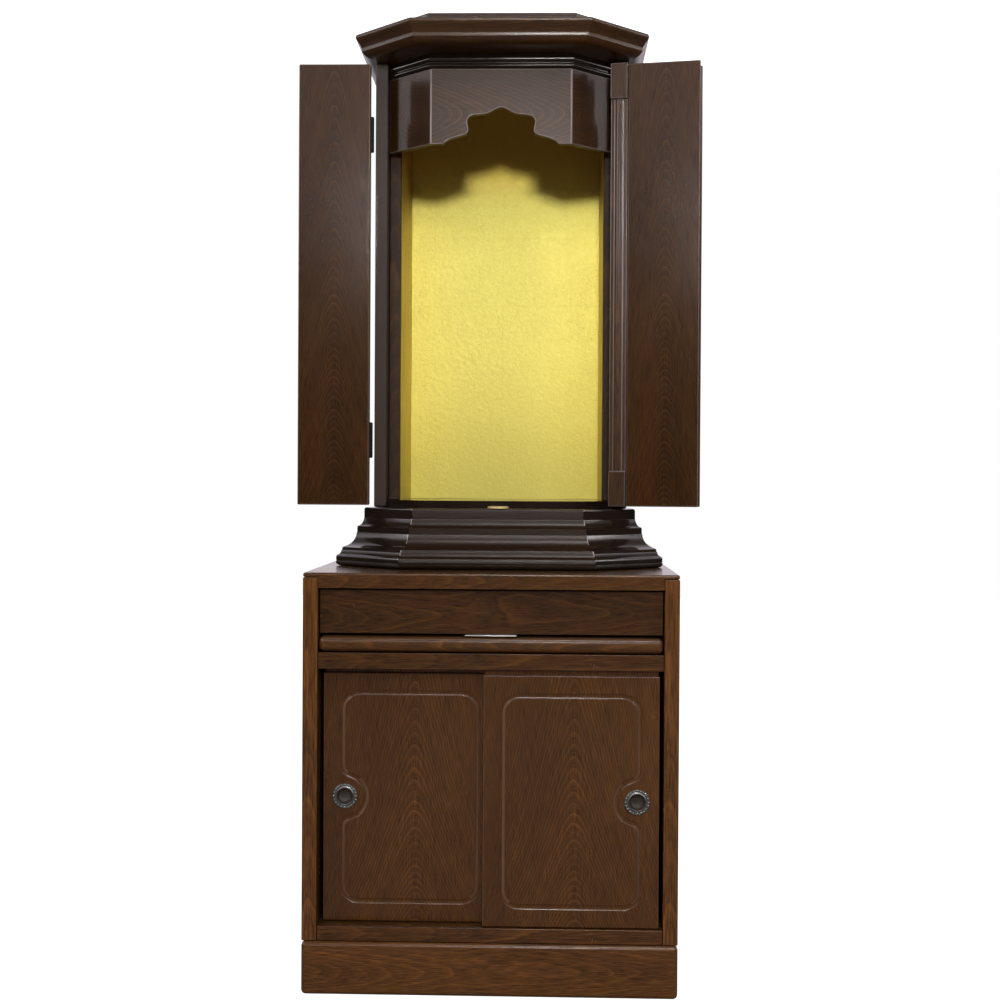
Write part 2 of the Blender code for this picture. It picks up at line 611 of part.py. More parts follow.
def build_valance(b):
    top = CORNICE_Z - JOINT_GAP
    low = top - VALANCE_DROP
    reach = INNER_HALF - JOINT_GAP
    board = b.piece("valance", slab_mesh("valance", valance_ring(0.0, reach), low,
                                         top - BEAD_BAND - JOINT_GAP), WENGE_FINISH)
    half = arch_outline()
    outline = [(-x, z) for x, z in half] + [(0.0, ARCH_RISE)] + [(x, z) for x, z in reversed(half)]
    outline += [(half[0][0], -0.01), (-half[0][0], -0.01)]
    front = BAY_FRONT_Y + VALANCE_INSET
    mesh = slab_mesh("arch", [(x, -z) for x, z in outline], 0.0, 3 * VALANCE_THICK)
    mesh.transform(Matrix.Translation((ALTAR_SHIFT, front + 2 * VALANCE_THICK, low))
                   @ Matrix.Rotation(math.radians(90), 4, "X") @ Matrix.Scale(-1, 4, (0, 1, 0)))
    mesh.flip_normals()
    cut(board, b.cutter("arch", mesh))
    band_low = top - BEAD_BAND
    step = BEAD_BAND / 8
    low_bead = [(0.0, 0.0), (0.35, 0.3), (0.80, 0.6), (0.95, 1.2), (0.80, 1.8), (0.35, 2.1)]
    high_bead = [(0.30, 3.0), (0.85, 3.3), (1.20, 4.0), (1.30, 4.8), (1.20, 5.5), (0.85, 6.2), (0.30, 6.5)]
    profile = low_bead + high_bead + [(0.0, 6.6), (0.0, 8.0)]
    rings = [(valance_ring(BEAD_PROUD * out, reach), band_low + step * level) for out, level in profile]
    b.piece("valance_beads", loft_mesh("beads", rings), BLACK_FINISH)


def valance_ring(out, reach):
    """Plan of the three-sided band behind the doors, grown forward by a distance."""
    outer = wing_line(VALANCE_INSET - out, reach)
    inner = wing_line(VALANCE_INSET + VALANCE_THICK, reach)
    return outer + list(reversed(inner))


def hinge_place(side):
    """Post hinge axis in plan: on the line of the closed side leaf, just outside the post."""
    return ALTAR_SHIFT + side * (ALTAR_HALF_WIDTH + HINGE_OUT), BAY_SIDE_Y + HINGE_OUT


def fold_place(side):
    """Fold axis in plan with the doors closed: on the inner faces where the two leaves meet."""
    depth = LEAF_THICK + LEAF_GAP / 2
    return ALTAR_SHIFT + side * (BAY_HALF_FLAT - TAN22 * depth), BAY_FRONT_Y + depth


def along_leaf(side, distance, depth):
    """A point of the closed side leaf, by distance from the hinge and depth behind its outer face."""
    x, y = hinge_place(side)
    return x - side * SIN45 * (distance + depth), y - SIN45 * (distance - depth)


def build_folding_doors(b):
    low = LEAF_Z
    high = LEAF_Z + LEAF_HEIGHT
    length = (BAY_RUN + HINGE_OUT) / SIN45
    t = LEAF_THICK
    for side, word, swing in ((-1, "left", OPEN_LEFT), (1, "right", OPEN_RIGHT)):
        hx, hy = hinge_place(side)
        kx, ky = fold_place(side)
        post_pivot = b.pivot(f"post_hinge_{word}", (hx, hy, 0))
        fold_pivot = b.pivot(f"fold_hinge_{word}", (kx - hx, ky - hy, 0), post_pivot)
        mitre = LEAF_GAP / 2
        outline = [along_leaf(side, LEAF_START, 0), along_leaf(side, length - mitre, 0),
                   along_leaf(side, length - mitre - TAN22 * t, t), along_leaf(side, LEAF_START, t)]
        side_leaf = b.piece(f"side_leaf_{word}", slab_mesh("leaf", outline, low, high), WENGE_FINISH)
        gap = ASTRAGAL_WIDTH / 2 + LEAF_GAP / 2
        free = ALTAR_SHIFT + side * gap
        corner = ALTAR_SHIFT + side * (BAY_HALF_FLAT - mitre)
        inner_corner = corner - side * TAN22 * t
        outline = [(free, BAY_FRONT_Y), (corner, BAY_FRONT_Y),
                   (inner_corner, BAY_FRONT_Y + t), (free, BAY_FRONT_Y + t)]
        front_leaf = b.piece(f"front_leaf_{word}", slab_mesh("leaf", outline, low, high), WENGE_FINISH)
        for leaf in (side_leaf, front_leaf):
            ease(leaf)
        hung = [side_leaf]
        folded = [front_leaf]
        for end, height in (("low", low + HINGE_FROM_END), ("high", high - HINGE_FROM_END)):
            hung.append(post_hinge_plate(b, side, word, end, height, side_leaf))
            folded.append(fold_barrel(b, side, word, end, height, side_leaf, front_leaf))
        if side > 0:
            folded.append(build_astragal(b, low, high))
        for piece in hung:
            attach(piece, post_pivot, (hx, hy))
        for piece in folded:
            attach(piece, fold_pivot, (kx, ky))
        post_pivot.rotation_euler.z = side * math.radians(swing)
        fold_pivot.rotation_euler.z = -side * math.radians(FOLD)


def attach(piece, pivot, place):
    """Hang a piece modelled in the closed place on a pivot."""
    piece.parent = pivot
    piece.data.transform(Matrix.Translation((-place[0], -place[1], 0)))
    for modifier in piece.modifiers:
        if modifier.type == "BOOLEAN" and modifier.object.parent is None:
            cutter = modifier.object
            cutter.parent = pivot
            cutter.data.transform(Matrix.Translation((-place[0], -place[1], 0)))


def post_hinge_plate(b, side, word, end, height, leaf):
    """Barrel on the post hinge axis with the plate that is let into the side leaf's edge."""
    hx, hy = hinge_place(side)
    half = BARREL_LENGTH / 2
    room = BARREL_RADIUS + JOINT_GAP
    notch = cylinder_mesh("notch", (hx, hy, height), room, BARREL_LENGTH + 2 * JOINT_GAP, "Z", 20)
    cut(leaf, b.cutter(f"post_notch_{word}_{end}", notch))
    barrel = b.piece(f"post_hinge_barrel_{word}_{end}",
                     cylinder_mesh("barrel", (hx, hy, height), BARREL_RADIUS, BARREL_LENGTH, "Z", 16),
                     IRON_FINISH)
    end_run = LEAF_START - JOINT_GAP
    outer = -HINGE_PLATE / 2
    inner = HINGE_PLATE * 3 / 2
    outline = [along_leaf(side, 0.0, outer), along_leaf(side, end_run, outer),
               along_leaf(side, end_run, inner), along_leaf(side, 0.0, inner)]
    web = b.cutter(f"web_{word}_{end}", slab_mesh("web", outline, height - half, height + half))
    cut(barrel, web, "UNION")
    return barrel


def fold_barrel(b, side, word, end, height, side_leaf, front_leaf):
    """Barrel of the hinge between the two leaves, let into notches in both."""
    kx, ky = fold_place(side)
    room = BARREL_RADIUS + JOINT_GAP
    for leaf, label in ((side_leaf, "side"), (front_leaf, "front")):
        notch = cylinder_mesh("notch", (kx, ky, height), room, BARREL_LENGTH + 2 * JOINT_GAP, "Z", 20)
        cut(leaf, b.cutter(f"fold_notch_{label}_{word}_{end}", notch))
    return b.piece(f"fold_hinge_barrel_{word}_{end}",
                   cylinder_mesh("barrel", (kx, ky, height), BARREL_RADIUS, BARREL_LENGTH, "Z", 16),
                   IRON_FINISH)


def build_astragal(b, low, high):
    """Cover strip on the free edge of the right front leaf: flat blocks at the ends, a rounded waist."""
    half = ASTRAGAL_WIDTH / 2
    waist = ASTRAGAL_WAIST / 2
    proud = ASTRAGAL_PROUD
    back = BAY_FRONT_Y + LEAF_THICK
    core = box_mesh("core", (ALTAR_SHIFT - half, BAY_FRONT_Y - ASTRAGAL_BED, low),
                    (ALTAR_SHIFT + half, back, high))
    strip = b.piece("astragal", core, WENGE_FINISH)
    for end, z in (("low", low), ("high", high - ASTRAGAL_BLOCK)):
        block = box_mesh("block", (ALTAR_SHIFT - half, BAY_FRONT_Y - proud, z),
                         (ALTAR_SHIFT + half, back - ASTRAGAL_BLOCK_INSET, z + ASTRAGAL_BLOCK))
        cut(strip, b.cutter(f"astragal_block_{end}", block), "UNION")
    round_part = [(ALTAR_SHIFT + x, BAY_FRONT_Y + y)
                  for x, y in arc((0, waist * 0.55), waist, 205, 335, 8)]
    round_part += [(ALTAR_SHIFT + waist, BAY_FRONT_Y + 0.002), (ALTAR_SHIFT - waist, BAY_FRONT_Y + 0.002)]
    middle = slab_mesh("waist", round_part, low + ASTRAGAL_BLOCK / 2, high - ASTRAGAL_BLOCK / 2)
    cut(strip, b.cutter("astragal_waist", middle), "UNION")
    return strip


def build():
    clear_scene()
    b = Builder()
    build_stand(b)
    build_tray(b)
    build_drawer(b)
    build_sliding_doors(b)
    build_altar_case(b)
    build_valance(b)
    build_folding_doors(b)


build()
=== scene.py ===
"""Looks of the household altar cabinet: finishes, turned and moulded pieces, and the photo stage.

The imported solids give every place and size.  Boards and mouldings are their own shapes
with rounded edges, the hinges, door pulls and door stop are turned, and the boards that
lie hidden keep their solids and get a finish.
"""
import json
import math

import bmesh
import bpy
from bpy.props import FloatProperty, FloatVectorProperty, IntProperty, PointerProperty
from mathutils import Matrix, Vector


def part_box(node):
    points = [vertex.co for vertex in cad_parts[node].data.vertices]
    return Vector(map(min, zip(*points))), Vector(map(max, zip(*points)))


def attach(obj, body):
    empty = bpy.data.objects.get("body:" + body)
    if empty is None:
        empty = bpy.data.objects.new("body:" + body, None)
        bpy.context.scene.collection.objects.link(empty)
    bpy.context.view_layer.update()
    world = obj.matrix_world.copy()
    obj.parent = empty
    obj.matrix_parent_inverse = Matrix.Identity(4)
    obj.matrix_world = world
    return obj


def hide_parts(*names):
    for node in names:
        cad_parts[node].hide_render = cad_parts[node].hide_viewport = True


bl_info = {
    "name": "Household Altar Cabinet",
    "version": (1, 0, 0),
    "blender": (4, 5, 0),
    "location": "3D View > Sidebar > Altar Cabinet",
    "description": "Finishes and fine pieces of a household altar cabinet on its stand",
    "category": "Add Mesh",
}

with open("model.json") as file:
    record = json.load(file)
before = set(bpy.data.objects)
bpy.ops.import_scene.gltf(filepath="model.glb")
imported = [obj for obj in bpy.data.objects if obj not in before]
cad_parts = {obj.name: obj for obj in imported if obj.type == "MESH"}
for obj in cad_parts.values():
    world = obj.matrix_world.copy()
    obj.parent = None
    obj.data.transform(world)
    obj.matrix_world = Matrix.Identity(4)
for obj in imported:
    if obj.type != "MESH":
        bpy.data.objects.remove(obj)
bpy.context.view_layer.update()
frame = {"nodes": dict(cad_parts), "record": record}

# Grain directions: how each board's grain lies in the cabinet
UPRIGHT = (0.0, 0.0, 0.0)
ACROSS = (0.0, math.radians(90), 0.0)
FRONT_TO_BACK = (math.radians(90), 0.0, 0.0)
FACING_SIDEWAYS = (0.0, 0.0, math.radians(90))

# Axes that turned pieces are turned round
RISING = (0.0, 0.0, 1.0)
TO_THE_FRONT = (0.0, -1.0, 0.0)

# Points closer than this are one point, and faces this little apart in slope are one face
SAME_POINT = 0.00002
SAME_SLOPE = math.radians(0.6)

# An edge is a mitre where it isn't level, and where its two faces aren't flat and turn a corner
LEVEL_EDGE = 0.0001
UPRIGHT_FACE = 0.05
CORNER_TURN = math.radians(20)

# Where the cabinet is seen from, and how far the view is turned from straight ahead
CAMERA_PLACE = (0.071, -2.2825, 0.6817)
CAMERA_YAW = math.atan(45.0 / 1550.0)
CAMERA_DROP = math.atan(17.0 / 1550.0)
CAMERA_ROLL = 0.0058
SENSOR_WIDTH = 36.0
VIEW_REACH = 60.0

# How wide the floor is
FLOOR_SIZE = 14.0


# Settings


class WoodSettings(bpy.types.PropertyGroup):
    dark: FloatVectorProperty(name="Late Wood", description="Colour of the dark lines in the grain",
                              subtype="COLOR", size=3, default=(0.027, 0.0124, 0.0034), min=0, max=1)
    pale: FloatVectorProperty(name="Early Wood", description="Colour between the dark lines",
                              subtype="COLOR", size=3, default=(0.112, 0.0530, 0.0140), min=0, max=1)
    ring_spacing: FloatProperty(name="Ring Spacing", description="Distance from one growth ring to the next",
                                default=0.0016, min=0.0003, max=0.01, unit="LENGTH")
    taper: FloatProperty(name="Taper", description="How fast the rings close along the grain",
                         default=0.13, min=0.0, max=1.0)
    gloss: FloatProperty(name="Lacquer Roughness", description="Roughness of the semi-gloss lacquer",
                         default=0.26, min=0.0, max=1.0)


class LacquerSettings(bpy.types.PropertyGroup):
    black: FloatVectorProperty(name="Black Lacquer", description="Colour of the near-black gloss lacquer",
                               subtype="COLOR", size=3, default=(0.014, 0.0088, 0.0058), min=0, max=1)
    # painted highlight: a pale colour put on rounded edges where light would catch them
    edge: FloatVectorProperty(name="Painted Edge Highlight", description="Colour of the highlight painted on rounded edges",
                              subtype="COLOR", size=3, default=(0.105, 0.082, 0.075), min=0, max=1)
    # painted highlight: a paler colour on the slope of the doors' routed line that faces a lamp
    groove: FloatVectorProperty(name="Painted Groove Highlight", description="Colour in the doors' routed line",
                                subtype="COLOR", size=3, default=(0.066, 0.037, 0.019), min=0, max=1)
    # painted highlight: a near-white colour on the plinth's rounded mitres that look up
    bright: FloatVectorProperty(name="Painted Mitre Highlight", description="Colour at the plinth's mitres",
                                subtype="COLOR", size=3, default=(0.24, 0.225, 0.22), min=0, max=1)
    gloss: FloatProperty(name="Gloss Roughness", description="Roughness of the gloss lacquer",
                         default=0.13, min=0.0, max=1.0)


class GoldSettings(bpy.types.PropertyGroup):
    leaf: FloatVectorProperty(name="Gold Leaf", description="Colour of the leaf",
                              subtype="COLOR", size=3, default=(0.77, 0.71, 0.215), min=0, max=1)
    ground: FloatVectorProperty(name="Ground", description="Colour of the ground where the leaf is thin",
                                subtype="COLOR", size=3, default=(0.34, 0.22, 0.04), min=0, max=1)
    # painted shadow: a colour put on the leaf high under the valance, where its shadow falls, and over the
    # side walls
    painted_shadow: FloatVectorProperty(name="Painted Shadow Leaf", description="Colour of the shadow painted on the leaf high under the valance",
                               subtype="COLOR", size=3, default=(0.62, 0.36, 0.03), min=0, max=1)
    square: FloatProperty(name="Leaf Square", description="Size of one square of leaf",
                          default=0.109, min=0.02, max=0.3, unit="LENGTH")


class MetalSettings(bpy.types.PropertyGroup):
    pewter: FloatVectorProperty(name="Pewter", description="Colour of the door pulls",
                                subtype="COLOR", size=3, default=(0.100, 0.088, 0.078), min=0, max=1)
    iron: FloatVectorProperty(name="Hinge Iron", description="Colour of the hinges",
                              subtype="COLOR", size=3, default=(0.020, 0.019, 0.019), min=0, max=1)
    brass: FloatVectorProperty(name="Brass", description="Colour of the door stop",
                               subtype="COLOR", size=3, default=(0.60, 0.47, 0.24), min=0, max=1)
    steel: FloatVectorProperty(name="Steel", description="Colour of the drawer's pull",
                               subtype="COLOR", size=3, default=(0.72, 0.71, 0.68), min=0, max=1)
    beads: IntProperty(name="Rim Beads", description="Number of beads round a door pull's rim",
                       default=20, min=6, max=60)


class StageSettings(bpy.types.PropertyGroup):
    floor: FloatVectorProperty(name="Floor", description="Colour of the pale floor",
                               subtype="COLOR", size=3, default=(0.20, 0.20, 0.20), min=0, max=1)
    key: FloatProperty(name="Key Light", description="Power of the lamp high in front", default=17.0, min=0)
    fill: FloatProperty(name="Fill Light", description="Power of the soft boxes at the sides",
                        default=6.0, min=0)
    surround: FloatProperty(name="Surround", description="Strength of the white surround",
                            default=1.0, min=0)
    tint: FloatVectorProperty(name="Room Tint", description="Colour of the light from the room",
                              subtype="COLOR", size=3, default=(1.0, 0.93, 1.0), min=0, max=1)
    room: FloatProperty(name="Room", description="Strength of the dim room in front of the cabinet",
                        default=0.05, min=0)
    ceiling: FloatProperty(name="Ceiling", description="Strength of the light from the ceiling",
                           default=1.6, min=0)
    glint: FloatProperty(name="Glint Light", description="Power of the small lamp seen in the gloss",
                         default=18.0, min=0)
    top: FloatProperty(name="Top Light", description="Power of the soft box overhead", default=28.0, min=0)
    corner: FloatProperty(name="Corner Lights", description="Power of the small lamps high at each side",
                          default=10.0, min=0)
    spark: FloatProperty(name="Spark Lights", description="Power of the small lamps seen at the mitres",
                         default=14.0, min=0)
    low: FloatProperty(name="Low Light", description="Power of the warm light low in front",
                       default=18.0, min=0)
    warm: FloatVectorProperty(name="Low Tint", description="Colour of the warm light low in front",
                              subtype="COLOR", size=3, default=(1.0, 0.68, 0.40), min=0, max=1)
    contrast: FloatProperty(name="Print Gamma", description="Gamma of the picture, deeper below one",
                            default=0.85, min=0.3, max=2.0)
    focal_length: FloatProperty(name="Focal Length", description="Focal length of the camera in millimetres",
                                default=55.8, min=10.0, max=200.0)


# Small modelling helpers


def deselect():
    if bpy.context.object and bpy.context.object.mode != "OBJECT":
        bpy.ops.object.mode_set(mode="OBJECT")
    bpy.ops.object.select_all(action="DESELECT")


def active(obj):
    deselect()
    obj.select_set(True)
    bpy.context.view_layer.objects.active = obj
    return obj


def settle(obj):
    """Puts the piece's place into its mesh, with its object at the origin."""
    active(obj)
    bpy.ops.object.transform_apply(location=True, rotation=True, scale=True)
    return obj


def named(name):
    obj = bpy.context.object
    obj.name = name
    obj.data.name = name
    return obj


def block(name, low, high):
    """A block from one corner to the other."""
    deselect()
    middle = [(a + b) / 2 for a, b in zip(low, high)]
    bpy.ops.mesh.primitive_cube_add(size=1.0, location=middle)
    obj = named(name)
    obj.scale = [b - a for a, b in zip(low, high)]
    return settle(obj)


def pick_edges(obj, choose):
    """In edit mode, selects the edges that a test chooses."""
    active(obj)
    bpy.ops.object.mode_set(mode="EDIT")
    bpy.ops.mesh.select_mode(type="EDGE")
    bpy.ops.mesh.select_all(action="DESELECT")
    bm = bmesh.from_edit_mesh(obj.data)
    bm.normal_update()
    for edge in bm.edges:
        edge.select = choose(edge)
    bm.select_flush_mode()
    bmesh.update_edit_mesh(obj.data)


def leave_edit():
    """Back to object mode, with points selectable again."""
    bpy.ops.mesh.select_mode(type="VERT")
    bpy.ops.object.mode_set(mode="OBJECT")


def bevel_sharp(obj, width, segments, angle, slot=-1):
    """Rounds the edges sharper than an angle, with the slot's finish where one is given."""
    active(obj)
    modifier = obj.modifiers.new("Rounded edges", "BEVEL")
    modifier.width = width
    modifier.segments = segments
    modifier.material = slot
    modifier.limit_method = "ANGLE"
    modifier.angle_limit = math.radians(angle)
    modifier.harden_normals = False
    modifier.miter_outer = "MITER_ARC"
    bpy.ops.object.modifier_apply(modifier=modifier.name)


def smooth(obj, angle):
    active(obj)
    bpy.ops.object.shade_smooth_by_angle(angle=math.radians(angle))


def tidy_mesh(obj):
    """Merges doubled points and turns the faces outwards."""
    active(obj)
    bpy.ops.object.mode_set(mode="EDIT")
    bpy.ops.mesh.select_all(action="SELECT")
    bpy.ops.mesh.remove_doubles(threshold=SAME_POINT)
    bpy.ops.mesh.normals_make_consistent(inside=False)
    bpy.ops.object.mode_set(mode="OBJECT")


def traced_copy(node):
    """A copy of a solid with its loose triangles merged back into whole faces."""
    active(frame["nodes"][node])
    bpy.ops.object.duplicate()
    obj = named(node + "_wood")
    obj.parent = None
    obj.matrix_world = Matrix.Identity(4)
    for key in [key for key in obj.keys() if key.startswith("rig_")]:
        del obj[key]
    active(obj)
    bpy.ops.mesh.customdata_custom_splitnormals_clear()
    bpy.ops.object.mode_set(mode="EDIT")
    bpy.ops.mesh.select_all(action="SELECT")
    bpy.ops.mesh.remove_doubles(threshold=SAME_POINT)
    bpy.ops.mesh.dissolve_limited(angle_limit=SAME_SLOPE)
    bpy.ops.object.mode_set(mode="OBJECT")
    return obj


def even_shading(obj, angle):
    """Smooth shading that keeps broad faces flat and lets the eased edges turn the light."""
    smooth(obj, angle)
    modifier = obj.modifiers.new("Even shading", "WEIGHTED_NORMAL")
    modifier.keep_sharp = True
    modifier.weight = 80
    bpy.ops.object.modifier_apply(modifier=modifier.name)


def round_mitres(obj, width):
    """Rounds the edges where the mouldings turn a corner."""

    def turns(edge):
        is_level = abs(edge.verts[0].co.z - edge.verts[1].co.z) < LEVEL_EDGE
        if is_level or len(edge.link_faces) != 2:
            return False
        ways = [Vector((face.normal.x, face.normal.y)) for face in edge.link_faces]
        return min(way.length for way in ways) > UPRIGHT_FACE and ways[0].angle(ways[1]) > CORNER_TURN

    pick_edges(obj, turns)
    bpy.ops.mesh.bevel(offset=width, segments=4, affect="EDGES", clamp_overlap=True)
    leave_edit()


def set_finishes(obj, *materials):
    obj.data.materials.clear()
    for material in materials:
        obj.data.materials.append(material)


def refined(node, material, round_over=None, angle=62, others=(), choose=None, mitre=None):
    """The solid's own shape with rounded edges and even shading, finished and riding its body.

    The first other finish goes on the rounded edges, unless a test numbers each face's finish.
    """
    obj = traced_copy(node)
    set_finishes(obj, material, *others)
    if mitre:
        round_mitres(obj, mitre)
    if round_over:
        bevel_sharp(obj, round_over, 2, 40, 1 if others and not choose else -1)
    even_shading(obj, angle)
    if choose:
        for face in obj.data.polygons:
            face.material_index = choose(face)
    finish_piece(obj, node)


def turned(name, profile, centre, along=RISING, steps=48):
    """A chain of (radius, height) points, drawn by extruding, turned once round an axis."""
    side = Vector((1.0, 0.0, 0.0))
    along = Vector(along)
    points = [Vector(centre) + side * radius + along * height for radius, height in profile]
    deselect()
    bpy.ops.mesh.primitive_plane_add(size=0.001, location=points[0])
    obj = named(name)
    settle(obj)
    bpy.ops.object.mode_set(mode="EDIT")
    bpy.ops.mesh.select_all(action="SELECT")
    bpy.ops.mesh.merge(type="CENTER")
    for before, after in zip(points, points[1:]):
        bpy.ops.mesh.extrude_vertices_move(TRANSFORM_OT_translate={"value": after - before})
    bpy.ops.mesh.select_all(action="SELECT")
    bpy.ops.mesh.spin(steps=steps, angle=math.tau, center=centre, axis=along)
    bpy.ops.object.mode_set(mode="OBJECT")
    tidy_mesh(obj)
    smooth(obj, 40)
    return obj


def beads_round(name, centre, reach, radius, count):
    """A ring of round beads about the front-to-back axis."""
    deselect()
    place = Vector(centre) + Vector((reach, 0.0, 0.0))
    bpy.ops.mesh.primitive_uv_sphere_add(segments=14, ring_count=8, radius=radius, location=place)
    obj = named(name)
    settle(obj)
    bpy.ops.object.mode_set(mode="EDIT")
    bpy.ops.mesh.select_all(action="SELECT")
    bpy.ops.mesh.spin(steps=count, angle=math.tau, center=centre, axis=(0.0, 1.0, 0.0), dupli=True)
    bpy.ops.object.mode_set(mode="OBJECT")
    tidy_mesh(obj)
    smooth(obj, 60)
    return obj


def join_onto(first, second):
    """Makes one piece of two, under the first one's name."""
    active(first)
    second.select_set(True)
    bpy.ops.object.join()


def body_of(node):
    for body, nodes in frame["record"]["behaviour"]["bodies"].items():
        if node in nodes:
            return body
    raise RuntimeError("no body holds " + node)


def finish_piece(obj, node, material=None, stands_for=True):
    """Gives a modelled piece its finish, and the body and the place of a solid."""
    if material:
        set_finishes(obj, material)
    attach(obj, body_of(node))
    if stands_for:
        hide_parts(node)


def coat_node(name, material):
    """Puts a finish on a solid that keeps its own mesh."""
    node = frame["nodes"][name]
    for place in node.material_slots:
        place.material = material
    if not node.material_slots:
        raise RuntimeError("the solid " + name + " has no material slot")


def middle_of(node):
    low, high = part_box(node)
    return tuple((a + b) / 2 for a, b in zip(low, high))


def shared(name):
    return bpy.data.materials[name]


# Shader node groups


def new_group(name, inputs, outputs):
    group = bpy.data.node_groups.new(name, "ShaderNodeTree")
    for label, kind, value in inputs:
        socket = group.interface.new_socket(name=label, in_out="INPUT", socket_type=kind)
        if value is not None:
            socket.default_value = value
    for label, kind in outputs:
        group.interface.new_socket(name=label, in_out="OUTPUT", socket_type=kind)
    return group, group.nodes.new("NodeGroupInput"), group.nodes.new("NodeGroupOutput")


def math_node(tree, operation, first, second=None, clamp=False):
    node = tree.nodes.new("ShaderNodeMath")
    node.operation = operation
    node.use_clamp = clamp
    for index, value in enumerate((first, second)):
        if value is None:
            continue
        if isinstance(value, (int, float)):
            node.inputs[index].default_value = value
        else:
            tree.links.new(value, node.inputs[index])
    return node.outputs[0]


def scaled(tree, vector, scale):
    node = tree.nodes.new("ShaderNodeVectorMath")
    node.operation = "MULTIPLY"
    tree.links.new(vector, node.inputs[0])
    node.inputs[1].default_value = scale
    return node.outputs[0]


def noise(tree, vector, scale, detail=2.0, roughness=0.5, distortion=0.0):
    node = tree.nodes.new("ShaderNodeTexNoise")
    node.inputs["Scale"].default_value = scale
    node.inputs["Detail"].default_value = detail
    node.inputs["Roughness"].default_value = roughness
    node.inputs["Distortion"].default_value = distortion
    tree.links.new(vector, node.inputs["Vector"])
    return node.outputs["Fac"]


def spread(tree, value, low, high, out_low=0.0, out_high=1.0):
    node = tree.nodes.new("ShaderNodeMapRange")
    node.interpolation_type = "SMOOTHSTEP"
    node.inputs["From Min"].default_value = low
    node.inputs["From Max"].default_value = high
    node.inputs["To Min"].default_value = out_low
    node.inputs["To Max"].default_value = out_high
    tree.links.new(value, node.inputs["Value"])
    return node.outputs[0]


def mixed(tree, factor, first, second, blend="MIX"):
    node = tree.nodes.new("ShaderNodeMix")
    node.data_type = "RGBA"
    node.blend_type = blend
    for socket, value in ((node.inputs[0], factor), (node.inputs[6], first), (node.inputs[7], second)):
        if hasattr(value, "is_linked"):
            tree.links.new(value, socket)
        elif isinstance(value, (int, float)):
            socket.default_value = value
        else:
            socket.default_value = (*value, 1.0)
    return node.outputs[2]


def ring_figure_group():
    """Growth rings of a tapering trunk, cut by a board: arches on its face, lines at its edges."""
    group, start, end = new_group("ring figure", [
        ("Vector", "NodeSocketVector", None),
        ("Pith Depth", "NodeSocketFloat", 0.05),
        ("Taper", "NodeSocketFloat", 0.13),
        ("Ring Spacing", "NodeSocketFloat", 0.0013),
        ("Waver", "NodeSocketFloat", 0.004),
        ("Sweep", "NodeSocketFloat", 0.0),
    ], [("Rings", "NodeSocketFloat"), ("Fibre", "NodeSocketFloat"), ("Cloud", "NodeSocketFloat")])
    link = group.links.new
    vector = start.outputs["Vector"]
    split = group.nodes.new("ShaderNodeSeparateXYZ")
    link(vector, split.inputs[0])
    # how far a point is from the trunk's middle, which rises as the trunk narrows
    deep = math_node(group, "ADD", split.outputs["Y"], start.outputs["Pith Depth"])
    across = math_node(group, "MULTIPLY", split.outputs["X"], split.outputs["X"])
    inward = math_node(group, "MULTIPLY", deep, deep)
    radius = math_node(group, "SQRT", math_node(group, "ADD", across, inward))
    bend = math_node(group, "MULTIPLY", split.outputs["Z"], start.outputs["Sweep"])
    rise = math_node(group, "MULTIPLY", split.outputs["Z"], math_node(group, "SUBTRACT", 1.0, bend))
    rise = math_node(group, "MULTIPLY", rise, start.outputs["Taper"])
    # the rings wander slowly, and waver a little from place to place
    slow = noise(group, scaled(group, vector, (9.0, 9.0, 2.6)), 1.0, 2.0)
    slow = math_node(group, "SUBTRACT", slow, 0.5)
    slow = math_node(group, "MULTIPLY", slow, start.outputs["Waver"])
    quick = noise(group, scaled(group, vector, (75.0, 75.0, 17.0)), 1.0, 2.0)
    quick = math_node(group, "MULTIPLY", math_node(group, "SUBTRACT", quick, 0.5), 0.0016)
    wander = math_node(group, "ADD", slow, quick)
    field = math_node(group, "ADD", math_node(group, "ADD", radius, rise), wander)
    phase = math_node(group, "DIVIDE", field, start.outputs["Ring Spacing"])
    turn = math_node(group, "FRACT", phase)
    climb = spread(group, turn, 0.46, 0.84)
    fall = spread(group, turn, 0.88, 1.0, 1.0, 0.0)
    rings = math_node(group, "MULTIPLY", climb, fall)
    # neighbouring rings differ in strength, as wet and dry years do
    year = math_node(group, "FLOOR", phase)
    years = group.nodes.new("ShaderNodeTexWhiteNoise")
    years.noise_dimensions = "1D"
    link(year, years.inputs["W"])
    strength = spread(group, years.outputs["Value"], 0.0, 1.0, 0.5, 1.0)
    # three finer lines lie within each ring
    fine = math_node(group, "FRACT", math_node(group, "MULTIPLY", phase, 3.0))
    fine_fall = spread(group, fine, 0.7, 1.0, 1.0, 0.0)
    fine = math_node(group, "MULTIPLY", spread(group, fine, 0.0, 0.6), fine_fall)
    fine = math_node(group, "MULTIPLY", fine, 0.32)
    rings = math_node(group, "ADD", math_node(group, "MULTIPLY", rings, 0.68), fine)
    link(math_node(group, "MULTIPLY", rings, strength), end.inputs["Rings"])
    streak = noise(group, scaled(group, vector, (1500.0, 1500.0, 38.0)), 1.0, 3.0, 0.6)
    link(spread(group, streak, 0.36, 0.66), end.inputs["Fibre"])
    cloud = noise(group, scaled(group, vector, (16.0, 16.0, 3.5)), 1.0, 3.0, 0.55)
    link(spread(group, cloud, 0.3, 0.7), end.inputs["Cloud"])


